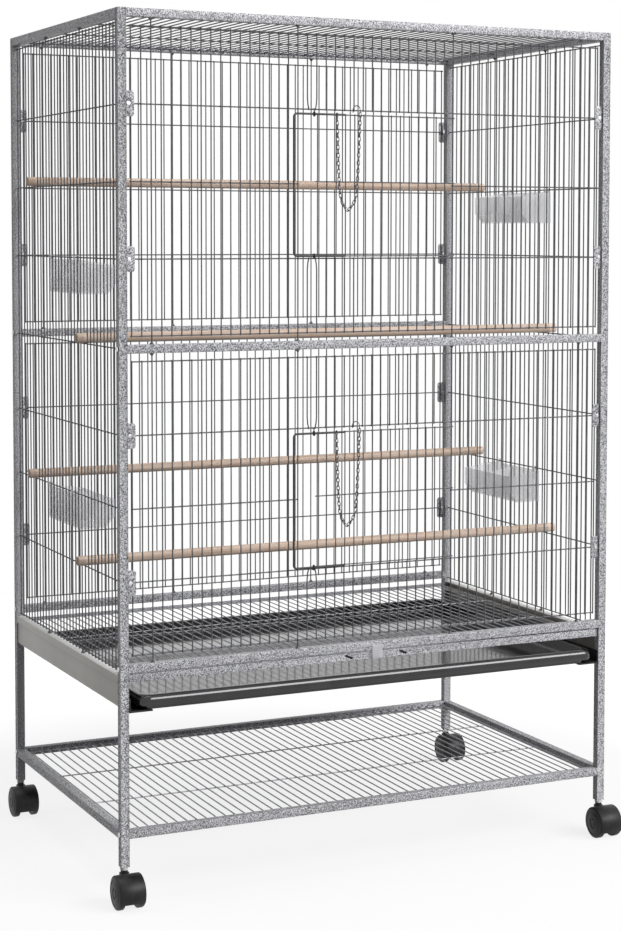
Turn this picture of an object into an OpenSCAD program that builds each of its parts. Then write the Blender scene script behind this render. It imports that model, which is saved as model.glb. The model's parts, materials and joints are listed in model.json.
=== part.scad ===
// Flight bird cage on a wheeled stand: a square-tube frame, welded wire panels, two front
// doors with sliding rod latches, a pull-out tray and floor grille, perches, cups and casters.
// Millimetres, +Z up, the front faces -Y. The origin lies on the floor under the middle of
// the whole object's box.

/* [Frame] */
// Width over the corner posts
cage_w = 787; // [760:1:830]
// Depth over the corner posts
cage_d = 508; // [500:1:540]
// Height of the top rails' upper face
frame_top = 1234; // [1200:1:1270]
// Width of the square tube of posts and rails
tube_size = 12; // [11.5:0.1:13]
// Wall of the square tube
tube_wall = 1; // [0.8:0.1:1.3]
// Height of the posts' lower end above the floor
post_bottom = 54; // [52:0.5:58]
// Height of the middle rails' centre
mid_rail_z = 771; // [755:1:785]
// Height of the bottom rails' centre
bottom_rail_z = 330; // [328:0.5:338]
// Height of the shelf rails' centre
shelf_rail_z = 99; // [90:1:140]

/* [Wires] */
// Thickness of the panel wires
wire_d = 2; // [1.8:0.1:2.4]
// Distance from a post to the nearest upright wire of a front or back panel
front_edge = 7.925; // [7:0.025:14]
// Distance from a post to the nearest upright wire of a side panel
side_edge = 7.6; // [7:0.1:14]
// Number of upright wires in a front or back panel
front_wire_count = 52; // [52:1:52]
// Number of upright wires in a side panel
side_wire_count = 33; // [33:1:33]
// Distance from a rail to the nearest cross wire of a panel
panel_gap = 11.5; // [9:0.5:14]
// Distance from a top rail to the top cross wire of a side panel
side_top_gap = 6; // [4:0.5:10]
// Height of a side panel's lowest cross wire
side_bottom_z = 325; // [323.5:0.5:327]
// Half the width of the foot at the end of a long wire
foot_half_w = 4; // [3:0.1:5]
// Height of the foot at the end of a long wire
foot_h = 3; // [2:0.1:3.2]

/* [Doors] */
// Distance from the doorway's upper wire to the door's top bar
door_drop = 7; // [5:0.5:9]
// Height of the door's lower bars above the panel's cross wires
door_rise = 3.5; // [3:0.1:4.5]
// Gap between the panel wires and the door behind
door_gap = 0.9; // [0.6:0.1:1.4]
// Length of the door bars beyond the last upright wire
door_overhang = 1.5; // [0.5:0.1:2]
// Radius of the hinge wire
hinge_r = 1.1; // [1:0.05:1.2]
// Running clearance of a bar's curl round the hinge wire
hinge_clear = 0.05; // [0.03:0.01:0.08]

/* [Latches] */
// Thickness of the latch rod
latch_d = 3; // [2.6:0.1:3.2]
// Distance from the doorway's edge wire to the latch rod's upright
latch_reach = 9.5; // [8:0.5:14]
// Length of the latch arms
latch_arm = 79; // [77:0.5:82]
// Gap between the door and the latch arms
latch_gap = 2.7; // [2.6:0.1:3]
// Bend radius of the latch rod
latch_bend_r = 5; // [4:0.5:8]
// Thickness of the guide loops' wire
guide_d = 2; // [1.6:0.1:2.2]
// Gap between a guide loop and the latch arm
guide_clear = 0.4; // [0.35:0.05:0.6]
// Thickness of the short post between a guide loop and its strut
guide_post_d = 1.5; // [1.2:0.1:1.5]

/* [Chains] */
// Thickness of the chain's wire
link_d = 1.1; // [0.9:0.1:1.2]
// Bend radius of a link's ends
link_bend_r = 1.35; // [1.3:0.05:1.6]
// Straight length of a link
link_straight = 3.9; // [3.5:0.1:4.5]
// Slack between linked links
link_slack = 0.1; // [0.05:0.05:0.2]
// Drop from the latch arm to the centre of the chain's lower bend
chain_fall = 123; // [110:1:135]
// Radius of the chain's lower bend
chain_bend_r = 12; // [11:0.5:14]
// Distance from the end of the latch arm to the chain's eye
chain_eye_back = 12; // [8:0.5:16]
// Distance from the chain's eye to its hook
chain_spread = 33.5; // [30:0.5:36]
// Radius of the chain's eye round the latch arm
eye_ring_r = 3.2; // [3.1:0.05:3.3]
// Gap between the chain's eye and the top of the latch arm
eye_clear = 0.3; // [0.3:0.05:0.4]
// Thickness of the hook's wire
hook_d = 1.4; // [1.2:0.1:1.5]
// Length of the hook's straight ends below the panel wire
hook_tail = 4.2; // [3.5:0.1:5]
// Gap between the hook and the panel wire behind it
hook_clear = 0.2; // [0.1:0.05:0.3]

/* [Perches] */
// Thickness of a perch
perch_d = 14; // [12:0.5:16]
// Length of a perch beyond the side wires' centre at each end
perch_overhang = 12.5; // [9:0.5:16]
// Gap between a perch's slot and the wire in it
perch_clear = 0.3; // [0.2:0.05:0.5]

/* [Cups] */
// Length of a cup along the side panel
cup_l = 150; // [140:1:152]
// Depth of a cup into the cage
cup_depth = 55; // [48:1:62]
// Height of a cup's back wall
cup_h = 50; // [44:1:56]
// Height of a cup's front wall
cup_front_h = 42; // [36:1:46]
// Height of the slope at the foot of a cup's front wall
cup_slope_h = 16; // [12:1:24]
// Depth of the slope at the foot of a cup's front wall
cup_slope_d = 14; // [10:1:20]
// Wall of a cup
cup_wall = 2; // [1.6:0.1:2.4]
// Gap between a cup and the side wires
cup_gap = 0.7; // [0.5:0.1:1]
// Width of a cup's hook
cup_hook_w = 8; // [6:0.5:9]
// Number of wire spacings from a cup's middle to its hooks
cup_hook_pitches = 4; // [4:1:4]
// Drop of a cup's rim below the wire that carries it
cup_drop = 3; // [2:0.5:5]
// Thickness of a cup's hook
cup_hook_t = 2; // [1.6:0.1:2.4]
// Length of the hook's lip outside the wires
cup_lip = 7; // [5:0.5:9]

/* [Base] */
// Thickness of the aprons' sheet
sheet_t = 1.5; // [1.2:0.1:1.8]
// Height of the aprons' upper edge
apron_top = 320; // [319:0.5:321]
// Height of the aprons' lower edge
apron_bottom = 277; // [275:1:280]
// Width of an apron's upper flange
apron_flange = 13; // [10:0.5:15]
// Height of the ledge that carries the floor grille
grille_ledge_z = 311; // [309:0.5:312]
// Depth of the grille ledge towards the inside
grille_ledge = 20; // [19:0.5:22]
// Gap under a sliding piece
slide_gap = 0.3; // [0.3:0.05:0.5]
// Height of the floor grille's front bar
grille_bar_h = 11; // [9:0.5:12]
// Thickness of the floor grille's front bar
grille_bar_t = 3; // [2:0.25:4]
// Height of the floor grille's back bar
grille_back_h = 6; // [5:0.5:8]
// Length of the slanted slots in the front bar
bar_slot_l = 13; // [10:0.5:16]
// Width of the slanted slots in the front bar
bar_slot_w = 3.4; // [2.5:0.1:4]
// Distance of the slots from the middle
bar_slot_x = 44; // [36:1:54]
// Slant of the slots
bar_slot_tilt = 24; // [15:1:30]
// Width of the clip on the front bar
clip_w = 17; // [14:0.5:20]
// Height of the clip on the front bar
clip_h = 21; // [18:0.5:23]
// Thickness of the clip on the front bar
clip_t = 2; // [1.5:0.1:2.5]
// Width of the runners under the tray
runner_w = 35; // [30:1:40]
// Height of the runners' upright wall
runner_h = 20; // [16:0.5:22]
// Wall of the runners
runner_wall = 2.4; // [2:0.1:2.8]
// Gap between the tray and a post at each side
tray_side_gap = 12.5; // [10.5:0.5:16.5]
// Height of the tray
tray_h = 21; // [18:0.5:23]
// Distance of the tray's front lip ahead of the posts
tray_lip = 8; // [4:0.5:12]
// Gap behind the tray
tray_back_gap = 6; // [4:0.5:12]
// Corner radius of the tray
tray_corner_r = 16; // [12:1:20]
// Width of the tray's rolled rim
tray_rim = 8; // [6:0.5:10]
// Height of the skirt of the tray's rim
tray_skirt_h = 15; // [12:0.5:16]
// Wall of the tray
tray_wall = 2.5; // [2:0.1:3]

/* [Casters] */
// Wheel radius
wheel_r = 23; // [21:0.5:24]
// Width of one wheel
wheel_w = 11; // [9:0.5:13]
// Width of the domed edge of a wheel's outer face
wheel_dome = 3; // [2:0.5:4]
// Drop of the domed edge of a wheel's outer face
wheel_dome_r = 4; // [3:0.5:6]
// Half the width of the housing between the wheels
housing_half_w = 10; // [8:0.5:12]
// Gap between the housing and a wheel
wheel_gap = 0.6; // [0.5:0.1:1]
// Distance of the wheel axle behind the swivel stem
caster_trail = 16; // [12:0.5:18]
// Radius of the wheel axle
axle_r = 3; // [2.5:0.1:3.5]
// Radius of the swivel stem
stem_r = 3; // [2.8:0.1:3.2]
// Length of the stem inside the post
stem_l = 24; // [18:1:30]
// Radius of the housing's neck under the stem
neck_r = 7; // [6:0.5:8]
// Radius of the ring on top of the neck
ring_r = 5; // [4.5:0.1:5.5]
// Height of the collar under a post
collar_h = 4; // [3:0.5:5]
// Radius of the collar under a post
collar_r = 5.6; // [5.2:0.1:5.8]
// Height of the housing's cut-off lower edge
housing_cut_z = 10; // [8:0.5:12]
// Running clearance of axles and stems
turn_clear = 0.05; // [0.03:0.01:0.08]

/* [Fasteners] */
// Height of a corner plate
plate_h = 35; // [30:1:40]
// Width of a corner plate
plate_w = 12; // [11:0.5:13]
// Thickness of a corner plate
plate_t = 1.5; // [1.2:0.1:1.8]
// Corner radius of a corner plate
plate_corner_r = 4; // [2:0.5:5]
// Gap between a corner plate and its post
plate_gap = 0.3; // [0.2:0.05:0.5]
// Distance from a post to the axis of a plate bolt
plate_bolt_in = 4; // [3.9:0.1:4.2]
// Radius of a plate bolt's head
plate_head_r = 2.8; // [2.4:0.1:3.4]
// Height of a plate bolt's low head
plate_head_h = 0.9; // [0.7:0.1:1.2]
// Radius of a plate bolt's shank
plate_shank_r = 1.5; // [1.3:0.1:1.6]
// Radius of a plate bolt's nut
nut_r = 2.8; // [2.4:0.1:2.8]
// Height of a plate bolt's nut
nut_h = 2.5; // [2:0.1:3]
// Radius of a rail bolt's head
rail_head_r = 3.5; // [3:0.1:4]
// Radius of a rail bolt's shank
rail_shank_r = 2; // [1.8:0.1:2.2]
// Length of a rail bolt's shank
rail_shank_l = 24; // [20:1:28]
// Height of a rail bolt's head
rail_head_h = 2; // [1.5:0.1:2.5]
// Clearance round a bolt's shank
bolt_clear = 0.1; // [0.05:0.05:0.2]

/* [Hidden] */
$fn = 48;
over = 0.5;
seat = 0.1;

wire_r = wire_d / 2;
tube_half = tube_size / 2;
post_x = cage_w / 2 - tube_half;
post_y = cage_d / 2 - tube_half;
inner_x = post_x - tube_half;
inner_y = post_y - tube_half;
rail_top_z = frame_top - tube_half;

front_last = front_wire_count - 1;
side_last = side_wire_count - 1;
front_pitch = 2 * (inner_x - front_edge) / front_last;
side_pitch = 2 * (inner_y - side_edge) / side_last;
front_xs = [for (i = [0 : front_last]) (i - front_last / 2) * front_pitch];
side_ys = [for (i = [0 : side_last]) (i - side_last / 2) * side_pitch];

// Cross wires stand at these shares of a front or back panel's height
level_shares = [0, 0.25, 0.5, 0.75, 1];
upper_low = mid_rail_z + tube_half + panel_gap;
upper_high = frame_top - tube_size - panel_gap;
lower_low = bottom_rail_z + tube_half + panel_gap;
lower_high = mid_rail_z - tube_half - panel_gap;
upper_zs = [for (share = level_shares) upper_low + share * (upper_high - upper_low)];
lower_zs = [for (share = level_shares) lower_low + share * (lower_high - lower_low)];
side_top_z = frame_top - tube_size - side_top_gap;
side_zs = [
    side_bottom_z, lower_zs[1], lower_zs[2], lower_zs[3], mid_rail_z,
    upper_zs[1], upper_zs[2], upper_zs[3], side_top_z
];
// Cross wires of the top, shelf and floor grilles stand at these shares of their depth
grille_shares = [0, 0.3333, 0.6667, 1];
flat_ys = [for (share = grille_shares) (2 * share - 1) * (inner_y - wire_r)];

// Upright wires, counted from the left, that run on to the rails or frame the doorways
long_front = [2, 17, 34, 49];
long_side = [11, 22];
door_left = 17;
door_right = 34;
door_rows = [1, 3];
door_wires = [for (i = [19 : 33]) front_xs[i]];
plate_rows = [1, 3];
plate_zs = concat([for (k = plate_rows) lower_zs[k]], [for (k = plate_rows) upper_zs[k]]);

hinge_x = front_xs[door_right];
hinge_y = -post_y;
curl_in = hinge_r + hinge_clear;
curl_out = curl_in + wire_d;
door_y = -post_y - wire_d - door_gap;
door_front = door_y - wire_r;
upper_door_zs = [upper_zs[1] + door_rise, upper_zs[2] + door_rise, upper_zs[3] - door_drop];
lower_door_zs = [lower_zs[1] + door_rise, lower_zs[2] + door_rise, lower_zs[3] - door_drop];

latch_r = latch_d / 2;
latch_y = door_front - latch_gap - latch_r;
latch_back_x = front_xs[door_left] - latch_reach;
latch_end_x = latch_back_x + latch_arm;
guide_r = guide_d / 2;
guide_post_r = guide_post_d / 2;
guide_x = (front_xs[18] + front_xs[19]) / 2;
guide_ring_r = latch_r + guide_clear + guide_r;

link_r = link_d / 2;
link_pitch = link_straight + 2 * (link_bend_r - link_r) - link_slack;
eye_in_r = eye_ring_r - link_r;
eye_drop = eye_in_r - latch_r - eye_clear;
hook_r = hook_d / 2;
eye_x = latch_end_x - chain_eye_back;
hook_back_y = -post_y + wire_r + hook_clear + hook_r;
hook_bend_r = (hook_back_y - latch_y) / 2;
hook_mid_y = (hook_back_y + latch_y) / 2;

perch_half = post_x + perch_overhang;
perch_slot_w = wire_d + 2 * perch_clear;
perch_slot_x = post_x - wire_r - perch_clear;
perch_rise = wire_r + perch_d / 2 + perch_clear;
perch_back_y = side_ys[26];
perch_front_y = side_ys[10];

cup_back_x = post_x - wire_r - cup_gap;
cup_hook_in = cup_hook_pitches * side_pitch;
cup_rise = wire_r + slide_gap;
// Cups hang with their hooks midway between wires, these numbers of wire spacings from the middle
cup_y_shares = [-1.5, 0.5, 1.5];
cup_y_near = cup_y_shares[0] * side_pitch;
cup_y_mid = cup_y_shares[1] * side_pitch;
cup_y_far = cup_y_shares[2] * side_pitch;

apron_x = post_x + tube_half - sheet_t;
apron_in_x = apron_x - sheet_t;
runner_x = inner_x - seat;
runner_bottom = apron_bottom - tray_rim;
tray_w = 2 * (inner_x - tray_side_gap);
tray_z = runner_bottom + runner_wall + slide_gap;
tray_top = tray_z + tray_h;
tray_front_y = -post_y - tube_half - tray_lip;
tray_back_y = inner_y - tray_back_gap;
tray_l = tray_back_y - tray_front_y;
tray_mid_y = (tray_front_y + tray_back_y) / 2;
grille_z = grille_ledge_z + slide_gap + wire_r;
grille_bar_y = -post_y - grille_bar_t / 2;
grille_ys = [for (share = grille_shares) (2 * share - 1) * (post_y - tube_half - wire_r - tray_back_gap)];
grille_bar_z = grille_ledge_z + grille_bar_h / 2;
grille_back_y = grille_ys[len(grille_ys) - 1] + grille_bar_t / 2;
clip_y = -post_y - tube_half - slide_gap - clip_t / 2;
clip_z = grille_ledge_z + seat + clip_h / 2;

axle_z = wheel_r;
wheel_in = housing_half_w + wheel_gap;
housing_r = wheel_r - wheel_gap;
collar_bottom = post_bottom - collar_h;
neck_top = collar_bottom - slide_gap;
ring_h = collar_h;
plug_half = tube_half - tube_wall - seat;
hood_back_y = -caster_trail;

plate_x = inner_x - plate_gap - plate_w / 2;
plate_y = post_y + wire_r + plate_t / 2;
plate_bolt_x = inner_x - plate_bolt_in;
ear_w = plate_bolt_in + plate_shank_r + over;
ear_h = plate_h - 2 * plate_corner_r;
ear_y = post_y + wire_r - seat - plate_t / 2;
rail_bolt_zs = [shelf_rail_z, bottom_rail_z, mid_rail_z];

// The front casters trail ahead of the posts, so the frame is set back to centre the box
box_front = post_y + caster_trail + wheel_r;
box_back = post_y + tube_half;
box_shift = (box_front - box_back) / 2;

silver = [0.55, 0.55, 0.58];
taupe = [0.5, 0.48, 0.44];
black = [0.08, 0.08, 0.09];
clear = [0.9, 0.93, 0.95];
wood = [0.8, 0.65, 0.42];
steel = [0.75, 0.75, 0.77];
white = [0.92, 0.92, 0.9];

module placed() {
    translate([0, box_shift, 0]) children();
}

module block(size, at) {
    translate(at) cube(size, center = true);
}

// A round bar along X, Y or Z, centred on a point
module bar_x(r, l, at) {
    translate(at) rotate([0, 90, 0]) cylinder(r = r, h = l, center = true);
}

module bar_y(r, l, at) {
    translate(at) rotate([90, 0, 0]) cylinder(r = r, h = l, center = true);
}

module bar_z(r, l, at) {
    translate(at) cylinder(r = r, h = l, center = true);
}

// A bend of round wire: part of a ring about Z, starting at +X
module bend(ring_r, r, turn) {
    rotate_extrude(angle = turn) translate([ring_r, 0]) circle(r = r);
}

function loop(x0, x1, z0, z1) = [[x0, z0], [x1, z0], [x1, z1], [x0, z1]];

// The outline of a long wire's end, from the panel's edge at z to the foot at z_end
function foot(x, z, z_end, side) =
    let (neck = z_end - sign(z_end - z) * foot_h)
    [
        [x - side * wire_r, z], [x - side * wire_r, neck], [x - side * foot_half_w, z_end],
        [x + side * foot_half_w, z_end], [x + side * wire_r, neck], [x + side * wire_r, z]
    ];

// The outline of a cross wire's end, from the panel's edge at x to x_end
function stub(x, x_end, z, side) = [
    [x, z - side * wire_r], [x_end, z - side * wire_r],
    [x_end, z + side * wire_r], [x, z + side * wire_r]
];

// A flat welded lattice: upright wires at xs, cross wires at zs, with an optional doorway.
// Long wires run down to foot_low and up to foot_high, cross wires out to end_low and end_high.
module lattice(xs, zs, long = [], foot_low = 0, foot_high = 0, ends = [], gap = []) {
    nx = len(xs) - 1;
    nz = len(zs) - 1;
    low = zs[0] - wire_r;
    high = zs[nz] + wire_r;
    left = xs[0] - wire_r;
    right = xs[nx] + wire_r;
    lower_edge = [for (i = long) each foot(xs[i], low, foot_low, 1)];
    upper_edge = [for (k = [len(long) - 1 : -1 : 0]) each foot(xs[long[k]], high, foot_high, -1)];
    right_edge = len(ends) == 0 ? [[right, low], [right, high]]
        : [for (j = [0 : nz]) each stub(right, ends[1], zs[j], 1)];
    left_edge = len(ends) == 0 ? [[left, high], [left, low]]
        : [for (j = [nz : -1 : 0]) each stub(left, ends[0], zs[j], -1)];
    outer = concat(
        len(long) == 0 ? [] : lower_edge, right_edge,
        len(long) == 0 ? [] : upper_edge, left_edge
    );
    cells = [
        for (i = [0 : nx - 1]) for (j = [0 : nz - 1])
        if (len(gap) == 0 || i < gap[0] || i >= gap[1] || j < gap[2] || j >= gap[3])
        loop(xs[i] + wire_r, xs[i + 1] - wire_r, zs[j] + wire_r, zs[j + 1] - wire_r)
    ];
    door = len(gap) == 0 ? [] : [loop(
        xs[gap[0]] + wire_r, xs[gap[1]] - wire_r, zs[gap[2]] + wire_r, zs[gap[3]] - wire_r
    )];
    holes = concat(cells, door);
    start = len(outer);
    rim = [for (k = [0 : start - 1]) k];
    rings = [for (k = [0 : len(holes) - 1]) [for (c = [0 : 3]) start + 4 * k + c]];
    linear_extrude(height = wire_d, center = true)
        polygon(points = concat(outer, [for (hole = holes) each hole]), paths = concat([rim], rings));
}

// Frame
module tube_x(l, at) {
    bore = tube_size - 2 * tube_wall;
    difference() {
        block([l, tube_size, tube_size], at);
        block([l + 2 * over, bore, bore], at);
    }
}

module tube_y(l, at) {
    bore = tube_size - 2 * tube_wall;
    difference() {
        block([tube_size, l, tube_size], at);
        block([bore, l + 2 * over, bore], at);
    }
}

module post(sx, sy) {
    bore = tube_size - 2 * tube_wall;
    post_l = frame_top - post_bottom;
    post_mid = (frame_top + post_bottom) / 2;
    color(silver) difference() {
        union() {
            block([tube_size, tube_size, post_l], [sx * post_x, sy * post_y, post_mid]);
            for (z = plate_zs)
                block([ear_w, plate_t, ear_h], [sx * (inner_x - ear_w / 2), sy * ear_y, z]);
        }
        block([bore, bore, post_l], [sx * post_x, sy * post_y, post_mid - tube_wall]);
        for (z = plate_zs)
            bar_y(plate_shank_r + bolt_clear, 2 * tube_size, [sx * plate_bolt_x, sy * ear_y, z]);
        for (z = rail_bolt_zs)
            bar_x(rail_shank_r + bolt_clear, 2 * tube_size, [sx * post_x, sy * post_y, z]);
    }
}

module post_collars() {
    plug_l = stem_l + over;
    color(white) for (sx = [-1, 1]) for (sy = [-1, 1]) difference() {
        union() {
            bar_z(collar_r, collar_h, [sx * post_x, sy * post_y, post_bottom - collar_h / 2]);
            block(
                [2 * plug_half, 2 * plug_half, plug_l],
                [sx * post_x, sy * post_y, post_bottom + plug_l / 2]
            );
        }
        bar_z(stem_r + turn_clear, 4 * stem_l, [sx * post_x, sy * post_y, post_bottom]);
    }
}

module rail_x(sy, z) {
    color(silver) tube_x(2 * inner_x, [0, sy * post_y, z]);
}

module rail_y(sx, z) {
    color(silver) tube_y(2 * inner_y, [sx * post_x, 0, z]);
}

module flat_grille(z) {
    color(silver) translate([0, 0, z]) lattice(front_xs, flat_ys, ends = [-inner_x, inner_x]);
}

// Wire panels
module front_panel(zs, rail_low, rail_high) {
    gap = [door_left, door_right, door_rows[0], door_rows[1]];
    pin_l = zs[door_rows[1]] - zs[door_rows[0]];
    pin_at = [hinge_x, hinge_y, zs[door_rows[0]] + pin_l / 2];
    color(silver) union() {
        difference() {
            translate([0, -post_y, 0]) rotate([90, 0, 0])
                lattice(front_xs, zs, long_front, rail_low, rail_high, gap = gap);
            block([2 * wire_d, 2 * wire_d, pin_l - wire_d], pin_at);
        }
        bar_z(hinge_r, pin_l - wire_d, pin_at);
        for (j = [door_rows[0] + 1 : door_rows[1] - 1])
            block([wire_d + over, wire_d, wire_d], [hinge_x + wire_d + over / 2, hinge_y, zs[j]]);
    }
}

module back_panel(zs, rail_low, rail_high) {
    color(silver) translate([0, post_y, 0]) rotate([90, 0, 0])
        lattice(front_xs, zs, long_front, rail_low, rail_high);
}

module side_panel(sx) {
    color(silver) translate([sx * post_x, 0, 0]) rotate([90, 0, 90])
        lattice(side_ys, side_zs, long_side, apron_top, frame_top - tube_size, [-inner_y, inner_y]);
}

module corner_plate(sx, sy, z) {
    core_w = plate_w - plate_corner_r;
    difference() {
        union() {
            block([plate_w, plate_t, plate_h - 2 * plate_corner_r], [sx * plate_x, sy * plate_y, z]);
            block([core_w, plate_t, plate_h], [sx * (plate_x + plate_corner_r / 2), sy * plate_y, z]);
            for (sz = [-1, 1]) bar_y(plate_corner_r, plate_t, [
                sx * (plate_x - plate_w / 2 + plate_corner_r), sy * plate_y,
                z + sz * (plate_h / 2 - plate_corner_r)
            ]);
        }
        bar_y(plate_shank_r + bolt_clear, 2 * tube_size, [sx * plate_bolt_x, sy * plate_y, z]);
    }
}

module corner_plates() {
    color(silver) for (sx = [-1, 1]) for (sy = [-1, 1]) for (z = plate_zs) corner_plate(sx, sy, z);
}

module plate_bolts() {
    head_y = plate_y + plate_t / 2 + plate_head_h / 2;
    nut_y = ear_y - plate_t / 2 - nut_h / 2;
    shank_l = head_y - nut_y;
    color(steel) for (sx = [-1, 1]) for (sy = [-1, 1]) for (z = plate_zs) {
        bar_y(plate_head_r, plate_head_h, [sx * plate_bolt_x, sy * head_y, z]);
        bar_y(plate_shank_r, shank_l, [sx * plate_bolt_x, sy * (nut_y + shank_l / 2), z]);
        bar_y(nut_r, nut_h, [sx * plate_bolt_x, sy * nut_y, z]);
    }
}

module rail_bolts() {
    head_x = post_x + tube_half + rail_head_h / 2;
    color(steel) for (sx = [-1, 1]) for (sy = [-1, 1]) for (z = rail_bolt_zs) {
        bar_x(rail_head_r, rail_head_h, [sx * head_x, sy * post_y, z]);
        bar_x(rail_shank_r, rail_shank_l, [sx * (head_x - rail_shank_l / 2), sy * post_y, z]);
    }
}

// Base
module apron(sx) {
    web_h = apron_top - apron_bottom;
    web_z = (apron_top + apron_bottom) / 2;
    low_flange = apron_in_x - runner_x;
    color(taupe) union() {
        block([sheet_t, 2 * inner_y, web_h], [sx * (apron_x - sheet_t / 2), 0, web_z]);
        block(
            [apron_flange, 2 * inner_y, sheet_t],
            [sx * (apron_x - apron_flange / 2), 0, apron_top - sheet_t / 2]
        );
        block(
            [grille_ledge, 2 * inner_y, sheet_t],
            [sx * (apron_x - grille_ledge / 2), 0, grille_ledge_z - sheet_t / 2]
        );
        block(
            [low_flange + sheet_t, 2 * inner_y, sheet_t],
            [sx * (apron_x - (low_flange + sheet_t) / 2), 0, apron_bottom + sheet_t / 2]
        );
    }
}

module runner(sx) {
    runner_l = 2 * inner_y + tube_size;
    runner_y = -tube_half;
    color(black) union() {
        block(
            [runner_wall, runner_l, runner_h],
            [sx * (runner_x - runner_wall / 2), runner_y, runner_bottom + runner_h / 2]
        );
        block(
            [runner_w, runner_l, runner_wall],
            [sx * (runner_x - runner_w / 2), runner_y, runner_bottom + runner_wall / 2]
        );
    }
}

module rounded_slab(w, l, h, r, at) {
    union() {
        block([w, l - 2 * r, h], at);
        block([w - 2 * r, l, h], at);
        for (sx = [-1, 1]) for (sy = [-1, 1])
            bar_z(r, h, at + [sx * (w / 2 - r), sy * (l / 2 - r), 0]);
    }
}

module tray() {
    tub_w = tray_w - 2 * tray_rim;
    tub_l = tray_l - 2 * tray_rim;
    tub_r = tray_corner_r - tray_rim;
    hollow_r = tub_r - tray_wall;
    skirt_z = tray_top - tray_skirt_h / 2;
    color(black) difference() {
        union() {
            rounded_slab(tub_w, tub_l, tray_h, tub_r, [0, tray_mid_y, tray_z + tray_h / 2]);
            difference() {
                rounded_slab(tray_w, tray_l, tray_skirt_h, tray_corner_r, [0, tray_mid_y, skirt_z]);
                rounded_slab(
                    tray_w - 2 * tray_wall, tray_l - 2 * tray_wall, tray_skirt_h,
                    tray_corner_r - tray_wall, [0, tray_mid_y, skirt_z - tray_wall]
                );
            }
        }
        rounded_slab(
            tub_w - 2 * tray_wall, tub_l - 2 * tray_wall, tray_h, hollow_r,
            [0, tray_mid_y, tray_z + tray_wall + tray_h / 2]
        );
    }
}

module bar_slot(x) {
    slot_half = (bar_slot_l - bar_slot_w) / 2;
    translate([x, grille_bar_y, grille_bar_z]) rotate([0, bar_slot_tilt, 0]) {
        block([2 * slot_half, 2 * grille_bar_t, bar_slot_w], [0, 0, 0]);
        for (sx = [-1, 1]) bar_y(bar_slot_w / 2, 2 * grille_bar_t, [sx * slot_half, 0, 0]);
    }
}

module floor_grille() {
    bar_l = 2 * (inner_x - 4 * slide_gap);
    neck_l = -grille_bar_y + grille_ys[0];
    color(silver) union() {
        translate([0, 0, grille_z]) lattice(front_xs, grille_ys);
        for (i = long_front)
            block([wire_d, neck_l, wire_d], [front_xs[i], grille_bar_y + neck_l / 2, grille_z]);
        difference() {
            block([bar_l, grille_bar_t, grille_bar_h], [0, grille_bar_y, grille_bar_z]);
            bar_slot(-bar_slot_x);
            bar_slot(bar_slot_x);
        }
        block(
            [bar_l, grille_bar_t, grille_back_h],
            [0, grille_back_y, grille_z - wire_r + grille_back_h / 2]
        );
    }
}

module grille_clip() {
    arm_l = grille_bar_y - grille_bar_t / 2 - clip_y;
    color(clear) union() {
        block([clip_w, clip_t, clip_h], [0, clip_y, clip_z]);
        block([clip_w, arm_l, clip_t], [0, clip_y + arm_l / 2, clip_z - clip_h / 2 + clip_t / 2]);
    }
}

// Doors and latches
module door(zs) {
    free_x = door_wires[0] - wire_r - door_overhang;
    color(silver) difference() {
        union() {
            translate([0, door_y, 0]) rotate([90, 0, 0])
                lattice(door_wires, zs, ends = [free_x, hinge_x]);
            for (z = zs) bar_z(curl_out, wire_d, [hinge_x, hinge_y, z]);
        }
        for (z = zs) bar_z(curl_in, 2 * wire_d, [hinge_x, hinge_y, z]);
    }
}

module latch(zs) {
    low = zs[0];
    high = zs[len(zs) - 1];
    upright_l = high - low - 2 * latch_bend_r;
    arm_l = latch_arm - latch_bend_r;
    color(silver) translate([latch_back_x, latch_y, 0]) union() {
        bar_z(latch_r, upright_l, [0, 0, (low + high) / 2]);
        bar_x(latch_r, arm_l, [latch_bend_r + arm_l / 2, 0, low]);
        bar_x(latch_r, arm_l, [latch_bend_r + arm_l / 2, 0, high]);
        translate([latch_bend_r, 0, high - latch_bend_r]) rotate([90, -90, 0])
            bend(latch_bend_r, latch_r, 90);
        translate([latch_bend_r, 0, low + latch_bend_r]) rotate([90, 180, 0])
            bend(latch_bend_r, latch_r, 90);
    }
}

module guide(arm_z, wire_z) {
    out = sign(wire_z - arm_z);
    post_l = abs(wire_z - arm_z) - guide_ring_r;
    strut_l = guide_r - post_y - wire_r - latch_y;
    union() {
        translate([guide_x, latch_y, arm_z]) rotate([0, 90, 0]) bend(guide_ring_r, guide_r, 360);
        translate([guide_x, latch_y, arm_z + out * guide_ring_r])
            bar_z(guide_post_r, post_l, [0, 0, out * post_l / 2]);
        bar_y(guide_r, strut_l, [guide_x, latch_y - guide_r + strut_l / 2, wire_z]);
    }
}

module latch_guides() {
    color(silver) {
        guide(upper_door_zs[2], upper_zs[3]);
        guide(upper_door_zs[0], upper_zs[1]);
        guide(lower_door_zs[2], lower_zs[3]);
        guide(lower_door_zs[0], lower_zs[1]);
    }
}

// Chains
module chain_link() {
    for (side = [-1, 1]) bar_z(link_r, link_straight, [side * link_bend_r, 0, 0]);
    for (turn = [0, 180]) rotate([0, turn, 0]) translate([0, 0, link_straight / 2])
        rotate([90, 0, 0]) bend(link_bend_r, link_r, 180);
}

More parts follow.
